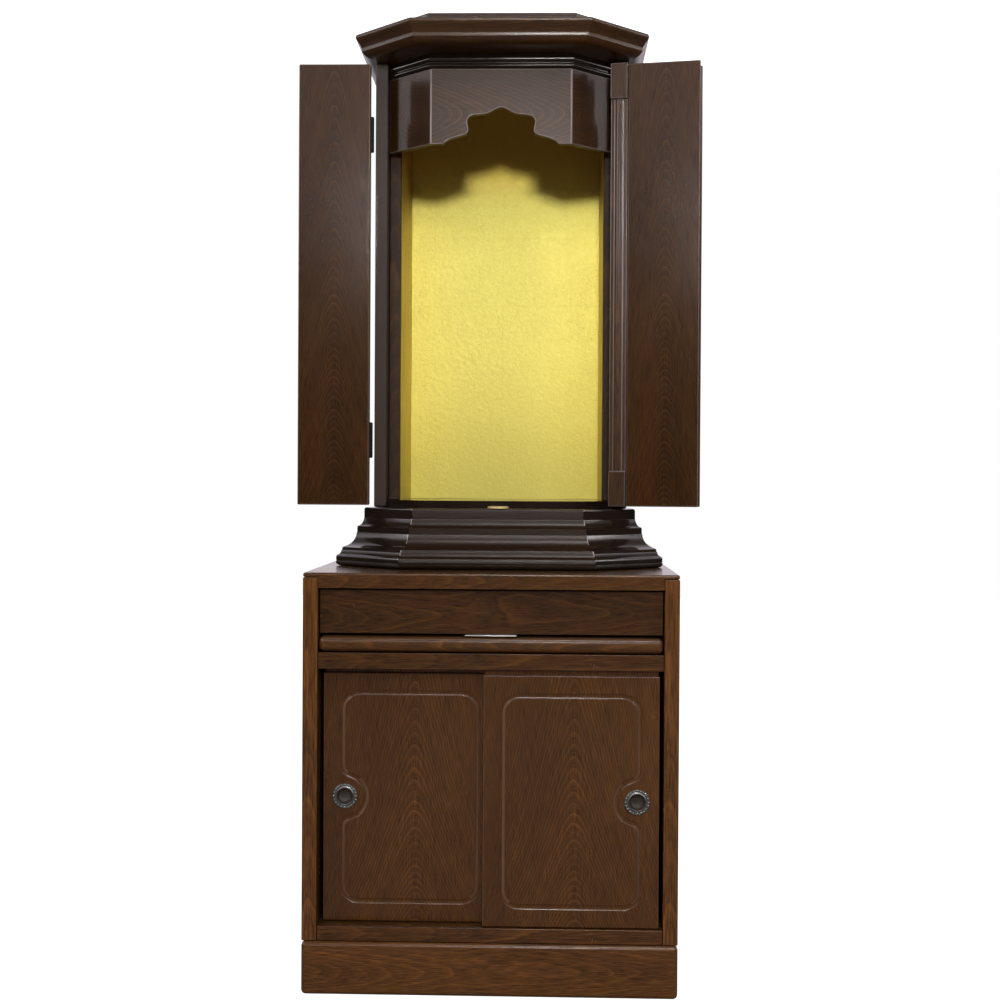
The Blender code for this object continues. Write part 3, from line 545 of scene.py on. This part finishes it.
def film_group():
    """Faint waviness and dust of a lacquer film: a height and a roughness change."""
    group, start, end = new_group("lacquer film", [
        ("Vector", "NodeSocketVector", None),
        ("Roughness", "NodeSocketFloat", 0.3),
        ("Change", "NodeSocketFloat", 0.05),
    ], [("Roughness", "NodeSocketFloat"), ("Height", "NodeSocketFloat")])
    ripple = noise(group, start.outputs["Vector"], 160.0, 2.0, 0.5)
    haze = noise(group, start.outputs["Vector"], 23.0, 4.0, 0.6)
    shift = math_node(group, "MULTIPLY", math_node(group, "SUBTRACT", haze, 0.5), start.outputs["Change"])
    rough = math_node(group, "ADD", start.outputs["Roughness"], shift, clamp=True)
    group.links.new(rough, end.inputs["Roughness"])
    group.links.new(ripple, end.inputs["Height"])


def new_material(name):
    made = bpy.data.materials.new(name)
    made.use_nodes = True
    return made, made.node_tree, made.node_tree.nodes["Principled BSDF"]


def placed_coordinates(tree, centre=(0, 0, 0), turn=UPRIGHT):
    """The piece's own coordinates, centred on a point and turned with the grain."""
    coordinates = tree.nodes.new("ShaderNodeTexCoord")
    shift = tree.nodes.new("ShaderNodeMapping")
    shift.vector_type = "TEXTURE"
    shift.inputs["Location"].default_value = centre
    shift.inputs["Rotation"].default_value = turn
    tree.links.new(coordinates.outputs["Object"], shift.inputs["Vector"])
    return shift.outputs["Vector"]


def add_group(tree, name, **values):
    node = tree.nodes.new("ShaderNodeGroup")
    node.node_tree = bpy.data.node_groups[name]
    for label, value in values.items():
        socket = node.inputs[label.replace("_", " ").title()]
        if hasattr(value, "is_linked"):
            tree.links.new(value, socket)
        else:
            socket.default_value = value
    return node


def bump(tree, shader, height, strength, distance):
    node = tree.nodes.new("ShaderNodeBump")
    node.inputs["Strength"].default_value = strength
    node.inputs["Distance"].default_value = distance
    tree.links.new(height, node.inputs["Height"])
    tree.links.new(node.outputs["Normal"], shader.inputs["Normal"])


def wood(name, centre, turn=UPRIGHT, depth=0.05, tone=1.0, spacing=1.0, taper=1.0, waver=0.012,
         gloss=None, figured=0.62, coat=0.2, sweep=0.0):
    """Lacquered dark wood whose figure is centred on its own board."""
    settings = bpy.context.scene.altar_wood
    made, tree, shader = new_material(name)
    vector = placed_coordinates(tree, centre, turn)
    figure = add_group(tree, "ring figure", vector=vector, pith_depth=depth, taper=settings.taper * taper,
                       ring_spacing=settings.ring_spacing * spacing, waver=waver, sweep=sweep)
    dark = [channel * tone for channel in settings.dark]
    pale = [channel * tone for channel in settings.pale]
    grain = math_node(tree, "MULTIPLY", figure.outputs["Rings"], figured)
    fibre = math_node(tree, "MULTIPLY", figure.outputs["Fibre"], 1.0 - figured)
    grain = math_node(tree, "ADD", grain, fibre)
    colour = mixed(tree, grain, dark, pale)
    tint = mixed(tree, figure.outputs["Cloud"], (0.80, 0.76, 0.72), (1.12, 1.06, 1.0))
    colour = mixed(tree, 1.0, colour, tint, "MULTIPLY")
    tree.links.new(colour, shader.inputs["Base Color"])
    film = add_group(tree, "lacquer film", vector=vector, roughness=gloss or settings.gloss, change=0.08)
    tree.links.new(film.outputs["Roughness"], shader.inputs["Roughness"])
    shader.inputs["Specular IOR Level"].default_value = 0.4
    shader.inputs["Coat Weight"].default_value = coat
    shader.inputs["Coat Roughness"].default_value = 0.14
    relief = math_node(tree, "ADD", math_node(tree, "MULTIPLY", figure.outputs["Fibre"], 0.7),
                       math_node(tree, "MULTIPLY", film.outputs["Height"], 0.5))
    bump(tree, shader, relief, 0.12, 0.00035)
    return made


def board_wood(node, turn, **values):
    """Lacquered wood that is named for its board and centred on it."""
    return wood(node.replace("_", " ") + " wood", middle_of(node), turn, **values)


def black_lacquer(name, tone=1.0, gloss=None, coat=0.25, colour=None):
    """Smooth lacquer with a faint warm cloud, black unless a colour is given."""
    settings = bpy.context.scene.altar_lacquer
    made, tree, shader = new_material(name)
    vector = placed_coordinates(tree)
    figure = add_group(tree, "ring figure", vector=vector, pith_depth=0.05, taper=0.1, ring_spacing=0.002,
                       waver=0.01)
    black = [channel * tone for channel in colour or settings.black]
    warm = [channel * 2.2 for channel in black]
    colour = mixed(tree, math_node(tree, "MULTIPLY", figure.outputs["Cloud"], 0.5), black, warm)
    tree.links.new(colour, shader.inputs["Base Color"])
    film = add_group(tree, "lacquer film", vector=vector, roughness=gloss or settings.gloss, change=0.06)
    tree.links.new(film.outputs["Roughness"], shader.inputs["Roughness"])
    shader.inputs["Coat Weight"].default_value = coat
    shader.inputs["Coat Roughness"].default_value = 0.08
    bump(tree, shader, film.outputs["Height"], 0.08, 0.0004)
    return made


def gold_leaf(name, centre, turn=UPRIGHT, reach=0.14, rubbed=0.35, depth=0.0):
    """Squares of leaf laid with narrow overlaps, crinkled, rubbed thin towards the edges, with painted shade
    and shadow.
    """
    settings = bpy.context.scene.altar_gold
    made, tree, shader = new_material(name)
    vector = placed_coordinates(tree, centre, turn)
    split = tree.nodes.new("ShaderNodeSeparateXYZ")
    waved = noise(tree, vector, 11.0, 2.0)
    tree.links.new(vector, split.inputs[0])
    # the squares, their overlaps and each square's own tone
    lines = []
    tones = []
    for axis in ("X", "Z"):
        along = math_node(tree, "DIVIDE", split.outputs[axis], settings.square)
        along = math_node(tree, "ADD", along, math_node(tree, "MULTIPLY", waved, 0.05))
        part = math_node(tree, "FRACT", along)
        lines.append(math_node(tree, "ADD", spread(tree, part, 0.0, 0.020, 1.0, 0.0),
                               spread(tree, part, 0.985, 1.0)))
        tones.append(math_node(tree, "FLOOR", along))
    overlap = math_node(tree, "MAXIMUM", *lines)
    square = tree.nodes.new("ShaderNodeCombineXYZ")
    tree.links.new(tones[0], square.inputs[0])
    tree.links.new(tones[1], square.inputs[1])
    own = tree.nodes.new("ShaderNodeTexWhiteNoise")
    own.noise_dimensions = "2D"
    tree.links.new(square.outputs[0], own.inputs["Vector"])
    # crinkles, specks and the broad places where the leaf is thin
    crinkle = noise(tree, vector, 170.0, 5.0, 0.68, 0.6)
    speck = noise(tree, vector, 720.0, 3.0, 0.7)
    thin = noise(tree, vector, 14.0, 4.0, 0.62)
    worn = math_node(tree, "MULTIPLY", spread(tree, speck, 0.50, 0.66), spread(tree, thin, 0.40, 0.62))
    tone = spread(tree, own.outputs["Value"], 0.0, 1.0, 0.0, 0.16)
    leaf = settings.leaf[:]
    deep = [leaf[0] * 0.84, leaf[1] * 0.80, leaf[2] * 0.72]
    colour = mixed(tree, tone, leaf, deep)
    seen = math_node(tree, "MULTIPLY", overlap, spread(tree, thin, 0.42, 0.64, 0.0, 0.30))
    colour = mixed(tree, seen, colour, deep)
    colour = mixed(tree, math_node(tree, "MULTIPLY", spread(tree, crinkle, 0.35, 0.75), 0.34), colour, deep)
    outer = spread(tree, math_node(tree, "ABSOLUTE", split.outputs["X"]), reach * 0.55, reach, 0.25, 1.0)
    # painted shade: the leaf takes the shadow colour as far as the depth given, which shades the side walls
    colour = mixed(tree, depth, colour, settings.painted_shadow[:])
    # painted shade: the leaf darker towards the bottom
    painted_shade_low = spread(tree, split.outputs["Z"], -0.30, 0.08, 0.75, 0.0)
    colour = mixed(tree, painted_shade_low, colour, deep)
    # painted shadow: the shadow colour high up, where the valance's shadow falls
    painted_shadow_high = spread(tree, split.outputs["Z"], 0.14, 0.25, 0.0, 0.6)
    colour = mixed(tree, painted_shadow_high, colour, settings.painted_shadow[:])
    bare = math_node(tree, "MULTIPLY", worn, math_node(tree, "MULTIPLY", outer, rubbed))
    colour = mixed(tree, bare, colour, settings.ground[:])
    tree.links.new(colour, shader.inputs["Base Color"])
    tree.links.new(spread(tree, crinkle, 0.2, 0.9, 0.40, 0.52), shader.inputs["Roughness"])
    shader.inputs["Metallic"].default_value = 0.75
    height = math_node(tree, "ADD", crinkle, math_node(tree, "MULTIPLY", overlap, 0.05))
    bump(tree, shader, height, 0.35, 0.0011)
    return made


def metal(name, colour, roughness, dirt, metallic=1.0):
    """Cast or plated metal with dark dirt in the hollows and small pits."""
    made, tree, shader = new_material(name)
    vector = placed_coordinates(tree)
    patch = noise(tree, vector, 260.0, 4.0, 0.6)
    fine = noise(tree, vector, 1400.0, 2.0, 0.6)
    mask = math_node(tree, "MULTIPLY", spread(tree, patch, 0.38, 0.66), dirt)
    shade = [channel * 0.22 for channel in colour]
    tree.links.new(mixed(tree, mask, colour, shade), shader.inputs["Base Color"])
    rough = spread(tree, patch, 0.3, 0.7, roughness, min(1.0, roughness + 0.22))
    tree.links.new(rough, shader.inputs["Roughness"])
    shader.inputs["Metallic"].default_value = metallic
    bump(tree, shader, math_node(tree, "ADD", patch, math_node(tree, "MULTIPLY", fine, 0.4)), 0.25, 0.0004)
    return made


# The pieces


class ALTAR_OT_shaders(bpy.types.Operator):
    """Make the shader node groups, and the lacquers and metals that many pieces share"""
    bl_idname = "altar.shaders"
    bl_label = "Shared Finishes"

    def execute(self, context):
        ring_figure_group()
        film_group()
        lacquers = context.scene.altar_lacquer
        black_lacquer("black gloss lacquer")
        black_lacquer("black satin lacquer", tone=2.2, gloss=0.46)
        # painted highlights: pale colours for rounded edges, the plinth's rounded mitres and the doors'
        # routed line
        black_lacquer("painted edge highlight lacquer", gloss=0.3, coat=0.1, colour=lacquers.edge[:])
        black_lacquer("painted mitre highlight lacquer", gloss=0.2, coat=0.3, colour=lacquers.bright[:])
        black_lacquer("painted groove highlight lacquer", gloss=0.3, coat=0.1, colour=lacquers.groove[:])
        metals = context.scene.altar_metal
        dark_pewter = [channel * 0.75 for channel in metals.pewter]
        bright_pewter = [channel * 1.8 for channel in metals.pewter]
        metal("pewter", metals.pewter[:], 0.36, dirt=0.75)
        metal("dark pewter", dark_pewter, 0.5, dirt=0.4, metallic=0.5)
        metal("bright pewter", bright_pewter, 0.32, dirt=0.3)
        metal("bright steel", metals.steel[:], 0.30, dirt=0.15)
        metal("hinge iron", metals.iron[:], 0.38, dirt=0.4, metallic=0.8)
        metal("dull brass", metals.brass[:], 0.42, dirt=0.3, metallic=0.6)
        return {"FINISHED"}


class ALTAR_OT_stand(bpy.types.Operator):
    """Finish the boards of the stand, its tray and its drawer"""
    bl_idname = "altar.stand"
    bl_label = "Stand Boards"

    def execute(self, context):
        for side in ("left", "right"):
            for node in ("stand_side_" + side, "base_side_" + side):
                refined(node, board_wood(node, UPRIGHT, depth=0.16, tone=1.5, taper=0.12, figured=0.45))
        for node, tone, depth, taper in (("divider_shelf", 0.95, 0.12, 0.1),
                                         ("cabinet_floor", 1.12, 0.12, 0.1),
                                         ("base_back", 1.0, 0.1, 0.2)):
            refined(node, board_wood(node, ACROSS, depth=depth, tone=tone, taper=taper, figured=0.45))
        refined("base_front", board_wood("base_front", ACROSS, depth=0.12, tone=1.4, spacing=0.8, taper=0.16,
                                         waver=0.02, figured=0.35))
        refined("slide_tray", board_wood("slide_tray", ACROSS, depth=0.09, tone=1.25, taper=0.22, waver=0.02,
                                         gloss=0.32))
        refined("stand_top", board_wood("stand_top", ACROSS, depth=0.14, tone=1.1, taper=0.2, coat=0.3,
                                        figured=0.4), angle=40)
        coat_node("stand_back", board_wood("stand_back", UPRIGHT, depth=0.08, tone=0.9))
        refined("drawer_front", board_wood("drawer_front", ACROSS, depth=0.12, tone=0.78, taper=0.14,
                                           waver=0.03, figured=0.45))
        pale_boards = {"drawer_back": ACROSS, "drawer_bottom": ACROSS}
        for side in ("left", "right"):
            pale_boards["drawer_side_" + side] = FRONT_TO_BACK
            pale_boards["drawer_runner_" + side] = FRONT_TO_BACK
        for node, turn in pale_boards.items():
            coat_node(node, board_wood(node, turn, depth=0.12, tone=5.0, gloss=0.6, coat=0.0))
        return {"FINISHED"}


def round_pull(side, face):
    """A dished pull: a beaded dark rim, a bright turned ring and a hollow bowl."""
    node = "door_pull_" + side
    low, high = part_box(node)
    centre = ((low[0] + high[0]) / 2, face, (low[2] + high[2]) / 2)
    outer = (high[0] - low[0]) / 2
    bowl = outer - 0.0052
    bead_line = outer - 0.0014
    rim = turned(node + "_rim", [(outer - 0.0060, 0.0003), (bowl, 0.0013), (outer - 0.0040, 0.0012),
                                 (outer - 0.0030, 0.0006), (bead_line, 0.0007), (outer - 0.0006, 0.0009),
                                 (outer, 0.0006), (outer, 0.0003)], centre, TO_THE_FRONT, 64)
    bead_centre = (centre[0], face - 0.0007, centre[2])
    beads = beads_round(node + "_beads", bead_centre, bead_line, 0.0020,
                        bpy.context.scene.altar_metal.beads)
    join_onto(rim, beads)
    finish_piece(rim, node, shared("pewter"))
    ring = turned(node + "_ring", [(bowl + 0.0009, 0.0004), (bowl + 0.0008, 0.0019), (bowl + 0.0002, 0.0023),
                                   (bowl - 0.0006, 0.0021), (bowl - 0.0010, 0.0012),
                                   (bowl - 0.0010, -0.0006)], centre, TO_THE_FRONT, 64)
    finish_piece(ring, node, shared("bright pewter"), stands_for=False)
    dish = turned(node + "_dish", [(0.0, -0.0058), (bowl * 0.4, -0.0056), (bowl * 0.68, -0.0046),
                                   (bowl * 0.84, -0.0026), (bowl - 0.0011, -0.0002)], centre, TO_THE_FRONT)
    finish_piece(dish, node, shared("dark pewter"), stands_for=False)


class ALTAR_OT_sliding_doors(bpy.types.Operator):
    """Finish the sliding doors with an upright cathedral figure"""
    bl_idname = "altar.sliding_doors"
    bl_label = "Sliding Doors"

    def execute(self, context):
        for side, lean, rise in (("left", 0.006, 0.004), ("right", 0.004, -0.006)):
            node = "sliding_door_" + side
            x, y, z = middle_of(node)
            figure_centre = (x + lean, y, z + rise)
            door = traced_copy(node)
            bevel_sharp(door, 0.0030, 4, 62)
            even_shading(door, 50)
            set_finishes(door, wood("sliding door " + side + " wood", figure_centre, UPRIGHT, depth=0.024,
                                    tone=1.15, spacing=2.3, taper=2.3, waver=0.022, sweep=1.2, figured=0.5),
                         shared("painted groove highlight lacquer"), shared("painted edge highlight lacquer"))
            # painted highlights: a paler colour on the inner slope of the routed line that faces a lamp, and
            # on the right door's rounded top edge
            for face in door.data.polygons:
                outward = face.normal.x * math.copysign(1.0, face.center.x - x)
                painted_groove_highlight = 0.25 < outward < 0.5 and face.normal.y < -0.2
                painted_top_highlight = 0.3 < face.normal.z < 0.95 and face.center.z > z + 0.2
                face.material_index = 2 if side == "right" and painted_top_highlight else int(painted_groove_highlight)
            finish_piece(door, node)
            round_pull(side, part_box(node)[0][1])
        plate = block("drawer_pull_plate", *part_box("drawer_pull"))
        bevel_sharp(plate, 0.0005, 2, 30)
        smooth(plate, 50)
        finish_piece(plate, "drawer_pull", shared("bright steel"))
        return {"FINISHED"}


def plinth_finish_and_painted_light(face):
    """Black round the sides, brown wood in front as a painted reflection, and a painted highlight on the
    rounded mitres that look up.
    """
    turn = abs(face.normal.x) / max(abs(face.normal.y), 0.001)
    if 0.22 < turn < 0.75 and 0.10 < face.normal.z < 0.60 and face.normal.y < 0:
        return 2
    return int(abs(face.normal.x) > 0.12 * abs(face.normal.y))


class ALTAR_OT_altar_case(bpy.types.Operator):
    """Finish the plinth, the case, the cornice and the gold lining of the altar"""
    bl_idname = "altar.altar_case"
    bl_label = "Altar Case"

    def execute(self, context):
        black = shared("black gloss lacquer")
        # the plinth has one finish: its front faces take a dark brown wood colour as a painted reflection
        front = board_wood("altar_plinth", ACROSS, depth=0.16, tone=0.34, taper=0.1, gloss=0.32, coat=0.0)
        refined("altar_plinth", front, 0.0014, 35, (black, shared("painted mitre highlight lacquer")), plinth_finish_and_painted_light, 0.003)
        refined("valance_beads", black, 0.0006, 40)
        for side in ("left", "right"):
            refined("altar_side_" + side, shared("black satin lacquer"), angle=30)
        refined("altar_floor", black, angle=30)
        coat_node("altar_back", black)
        coat_node("altar_ceiling", board_wood("altar_ceiling", ACROSS, tone=1.5))
        refined("altar_cornice", board_wood("altar_cornice", ACROSS, depth=0.2, tone=0.95, taper=0.15,
                                            gloss=0.34, coat=0.25), 0.0006, 35, mitre=0.002)
        refined("altar_top", board_wood("altar_top", ACROSS, depth=0.15, tone=0.6, taper=0.2, gloss=0.28))
        for side in ("left", "right"):
            jamb = "altar_jamb_" + side
            lining = "gold_side_" + side
            refined(jamb, board_wood(jamb, UPRIGHT, depth=0.1, tone=0.6, taper=0.3, gloss=0.5, coat=0.0))
            # a depth of 0.5 paints the side walls half in the shadow colour as painted shade
            coat_node(lining, gold_leaf("gold side " + side, middle_of(lining), FACING_SIDEWAYS, reach=0.02,
                                        rubbed=1.0, depth=0.5))
        coat_node("gold_back", gold_leaf("gold back leaf", middle_of("gold_back")))
        x, y, z = middle_of("valance")
        figure_centre = (x, y, z - 0.012)
        # the valance's rounded edges get a painted highlight
        refined("valance", wood("valance wood", figure_centre, ACROSS, depth=0.020, tone=0.72, taper=2.4,
                                spacing=2.8, waver=0.010, figured=0.7, gloss=0.33, coat=0.1), 0.0018, 40,
                [shared("painted edge highlight lacquer")])
        low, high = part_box("door_stop")
        reach, top = (high[0] - low[0]) / 2, high[2] - low[2]
        stop = turned("door_stop_cap", [(reach, 0.0), (reach, top * 0.5), (reach * 0.96, top * 0.8),
                                        (reach * 0.88, top * 0.95), (reach * 0.75, top), (0.0, top)],
                      ((low[0] + high[0]) / 2, (low[1] + high[1]) / 2, low[2]))
        finish_piece(stop, "door_stop", shared("dull brass"))
        return {"FINISHED"}


def hinge_barrel(node):
    """A pin hinge's barrel: five knuckles parted by fine lines, with rounded ends."""
    low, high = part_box(node)
    foot = ((low[0] + high[0]) / 2, (low[1] + high[1]) / 2, low[2])
    radius, length = (high[0] - low[0]) / 2, high[2] - low[2]
    profile = [(0.0, 0.0), (radius * 0.6, 0.0002), (radius * 0.98, 0.0010), (radius, 0.0016)]
    for knuckle in range(1, 5):
        seam = length * knuckle / 5
        profile += [(radius, seam - 0.0003), (radius * 0.86, seam), (radius, seam + 0.0003)]
    profile += [(radius, length - 0.0016), (radius * 0.98, length - 0.0010), (radius * 0.6, length - 0.0002),
                (0.0, length)]
    barrel = turned(node + "_iron", profile, foot, steps=28)
    finish_piece(barrel, node, shared("hinge iron"))


class ALTAR_OT_folding_doors(bpy.types.Operator):
    """Finish the folding leaves, the cover strip and their hinges"""
    bl_idname = "altar.folding_doors"
    bl_label = "Folding Doors"

    def execute(self, context):
        # the rounded edges of the leaves and the cover strip get a painted highlight
        edge = [shared("painted edge highlight lacquer")]
        for side in ("left", "right"):
            for leaf in ("side_leaf_" + side, "front_leaf_" + side):
                refined(leaf, board_wood(leaf, UPRIGHT, depth=0.022, tone=0.80, spacing=1.9, taper=2.0,
                                         waver=0.014, gloss=0.20, coat=0.1, sweep=0.6, figured=0.6),
                        0.0013, others=edge)
            for end in ("high", "low"):
                for hinge in ("post", "fold"):
                    hinge_barrel(f"{hinge}_hinge_barrel_{side}_{end}")
        refined("astragal", board_wood("astragal", UPRIGHT, depth=0.15, tone=0.74, taper=0.3, waver=0.003,
                                       figured=0.3, gloss=0.34, coat=0.1), 0.0010, 40, edge)
        return {"FINISHED"}


def soft_box(name, place, aim, size, power):
    """A plain lamp with a flat glowing face, turned towards a point."""
    deselect()
    bpy.ops.object.light_add(type="AREA", location=place)
    lamp = bpy.context.object
    lamp.name = name
    lamp.data.shape = "RECTANGLE"
    lamp.data.size, lamp.data.size_y = size
    lamp.data.energy = power
    lamp.rotation_euler = (Vector(aim) - Vector(place)).to_track_quat("-Z", "Y").to_euler()
    return lamp


def studio_surround(scene, settings):
    """A white surround behind, a ceiling that fades upwards, and a dim room in front of the cabinet."""
    world = bpy.data.worlds.new("studio surround")
    world.use_nodes = True
    tree = world.node_tree
    sky = tree.nodes["Background"]
    coordinates = tree.nodes.new("ShaderNodeTexCoord")
    split = tree.nodes.new("ShaderNodeSeparateXYZ")
    tree.links.new(coordinates.outputs["Generated"], split.inputs[0])
    behind = spread(tree, split.outputs["Y"], 0.30, 0.85, settings.room, settings.surround)
    rise = spread(tree, split.outputs["Z"], 0.12, 0.30, 0.0, settings.ceiling)
    fade = spread(tree, split.outputs["Z"], 0.30, 0.55, 1.0, 0.22)
    level = math_node(tree, "MAXIMUM", behind, math_node(tree, "MULTIPLY", rise, fade))
    path = tree.nodes.new("ShaderNodeLightPath")
    level = math_node(tree, "MAXIMUM", level, path.outputs["Is Camera Ray"])
    tree.links.new(level, sky.inputs["Strength"])
    tree.links.new(mixed(tree, path.outputs["Is Camera Ray"], settings.tint[:], (1.0, 1.0, 1.0)),
                   sky.inputs["Color"])
    scene.world = world


class ALTAR_OT_stage(bpy.types.Operator):
    """Set the pale floor, the soft studio light and the camera"""
    bl_idname = "altar.stage"
    bl_label = "Photo Stage"

    def execute(self, context):
        settings = context.scene.altar_stage
        deselect()
        bpy.ops.mesh.primitive_plane_add(size=1.0, location=(0, 0, 0))
        floor = named("studio_floor")
        floor.scale = (FLOOR_SIZE, FLOOR_SIZE, 1.0)
        settle(floor)
        pale, tree, shader = new_material("pale floor")
        vector = placed_coordinates(tree)
        shade = [channel * 0.985 for channel in settings.floor]
        tree.links.new(mixed(tree, noise(tree, vector, 3.0, 3.0), settings.floor[:], shade),
                       shader.inputs["Base Color"])
        shader.inputs["Roughness"].default_value = 0.7
        shader.inputs["Emission Color"].default_value = (1.0, 1.0, 1.0, 1.0)
        seen = tree.nodes.new("ShaderNodeLightPath").outputs["Is Camera Ray"]
        tree.links.new(math_node(tree, "MULTIPLY", seen, 0.95), shader.inputs["Emission Strength"])
        floor.data.materials.append(pale)

        context.scene.view_settings.view_transform = "Standard"
        context.scene.view_settings.gamma = settings.contrast
        studio_surround(context.scene, settings)
        # each lamp has its place, the point that it's turned to, its width and height, and its power
        key = soft_box("key_lamp", (0.10, -3.0, 1.44), (0.0, 0.0, 0.9), (0.30, 0.22), settings.key)
        key.visible_glossy = False
        soft_box("glint_lamp", (0.10, -3.0, 1.56), (0.0, 0.0, 0.9), (0.30, 0.22), settings.glint)
        soft_box("top_box", (0.35, -1.7, 2.9), (0.0, -0.2, 0.6), (1.0, 0.5), settings.top)
        for name, x in (("left_glint", -2.0), ("right_glint", 2.0)):
            soft_box(name, (x, -2.2, 1.9), (0.0, -0.1, 0.8), (0.3, 0.3), settings.corner)
            spark = soft_box(name + "_spark", (x, -2.1, 1.6), (0.0, -0.1, 0.7), (0.2, 0.2), settings.spark)
            spark.visible_diffuse = False
        warm = soft_box("low_box", (0.2, -2.6, 0.12), (0.0, -0.1, 0.7), (1.2, 0.2), settings.low)
        warm.data.color = settings.warm
        warm.visible_glossy = False
        soft_box("left_box", (-2.6, 0.11, 1.9), (0.0, 0.0, 0.7), (0.14, 1.8), settings.fill)
        soft_box("right_box", (2.6, 0.03, 1.9), (0.0, 0.0, 0.7), (0.14, 1.8), settings.fill)

        deselect()
        bpy.ops.object.camera_add(location=CAMERA_PLACE)
        camera = bpy.context.object
        camera.name = "photo_camera"
        camera.data.lens = settings.focal_length
        camera.data.sensor_width = SENSOR_WIDTH
        camera.data.clip_end = VIEW_REACH
        yaw = Matrix.Rotation(CAMERA_YAW, 3, "Z")
        pitch = Matrix.Rotation(math.radians(90.0) - CAMERA_DROP, 3, "X")
        roll = Matrix.Rotation(CAMERA_ROLL, 3, "Z")
        camera.rotation_euler = (yaw @ pitch @ roll).to_euler()
        context.scene.camera = camera
        return {"FINISHED"}


class ALTAR_PT_panel(bpy.types.Panel):
    """Lists the pieces and the stage"""
    bl_label = "Altar Cabinet"
    bl_idname = "ALTAR_PT_panel"
    bl_space_type = "VIEW_3D"
    bl_region_type = "UI"
    bl_category = "Altar Cabinet"

    def draw(self, context):
        for operator in OPERATORS:
            self.layout.operator(operator.bl_idname)
        for name in SETTINGS:
            box = self.layout.box()
            settings = getattr(context.scene, name)
            for prop in settings.bl_rna.properties:
                if not prop.is_readonly and prop.identifier != "name":
                    box.prop(settings, prop.identifier)


SETTINGS = {
    "altar_wood": WoodSettings,
    "altar_lacquer": LacquerSettings,
    "altar_gold": GoldSettings,
    "altar_metal": MetalSettings,
    "altar_stage": StageSettings,
}
OPERATORS = (
    ALTAR_OT_shaders,
    ALTAR_OT_stand,
    ALTAR_OT_sliding_doors,
    ALTAR_OT_altar_case,
    ALTAR_OT_folding_doors,
    ALTAR_OT_stage,
)


def register():
    for name, settings in SETTINGS.items():
        bpy.utils.register_class(settings)
        setattr(bpy.types.Scene, name, PointerProperty(type=settings))
    for operator in OPERATORS:
        bpy.utils.register_class(operator)
    bpy.utils.register_class(ALTAR_PT_panel)


def unregister():
    bpy.utils.unregister_class(ALTAR_PT_panel)
    for operator in reversed(OPERATORS):
        bpy.utils.unregister_class(operator)
    for name, settings in SETTINGS.items():
        delattr(bpy.types.Scene, name)
        bpy.utils.unregister_class(settings)


def main():
    register()
    bpy.ops.altar.shaders()
    bpy.ops.altar.stand()
    bpy.ops.altar.sliding_doors()
    bpy.ops.altar.altar_case()
    bpy.ops.altar.folding_doors()
    bpy.ops.altar.stage()


if __name__ == "__main__":
    main()
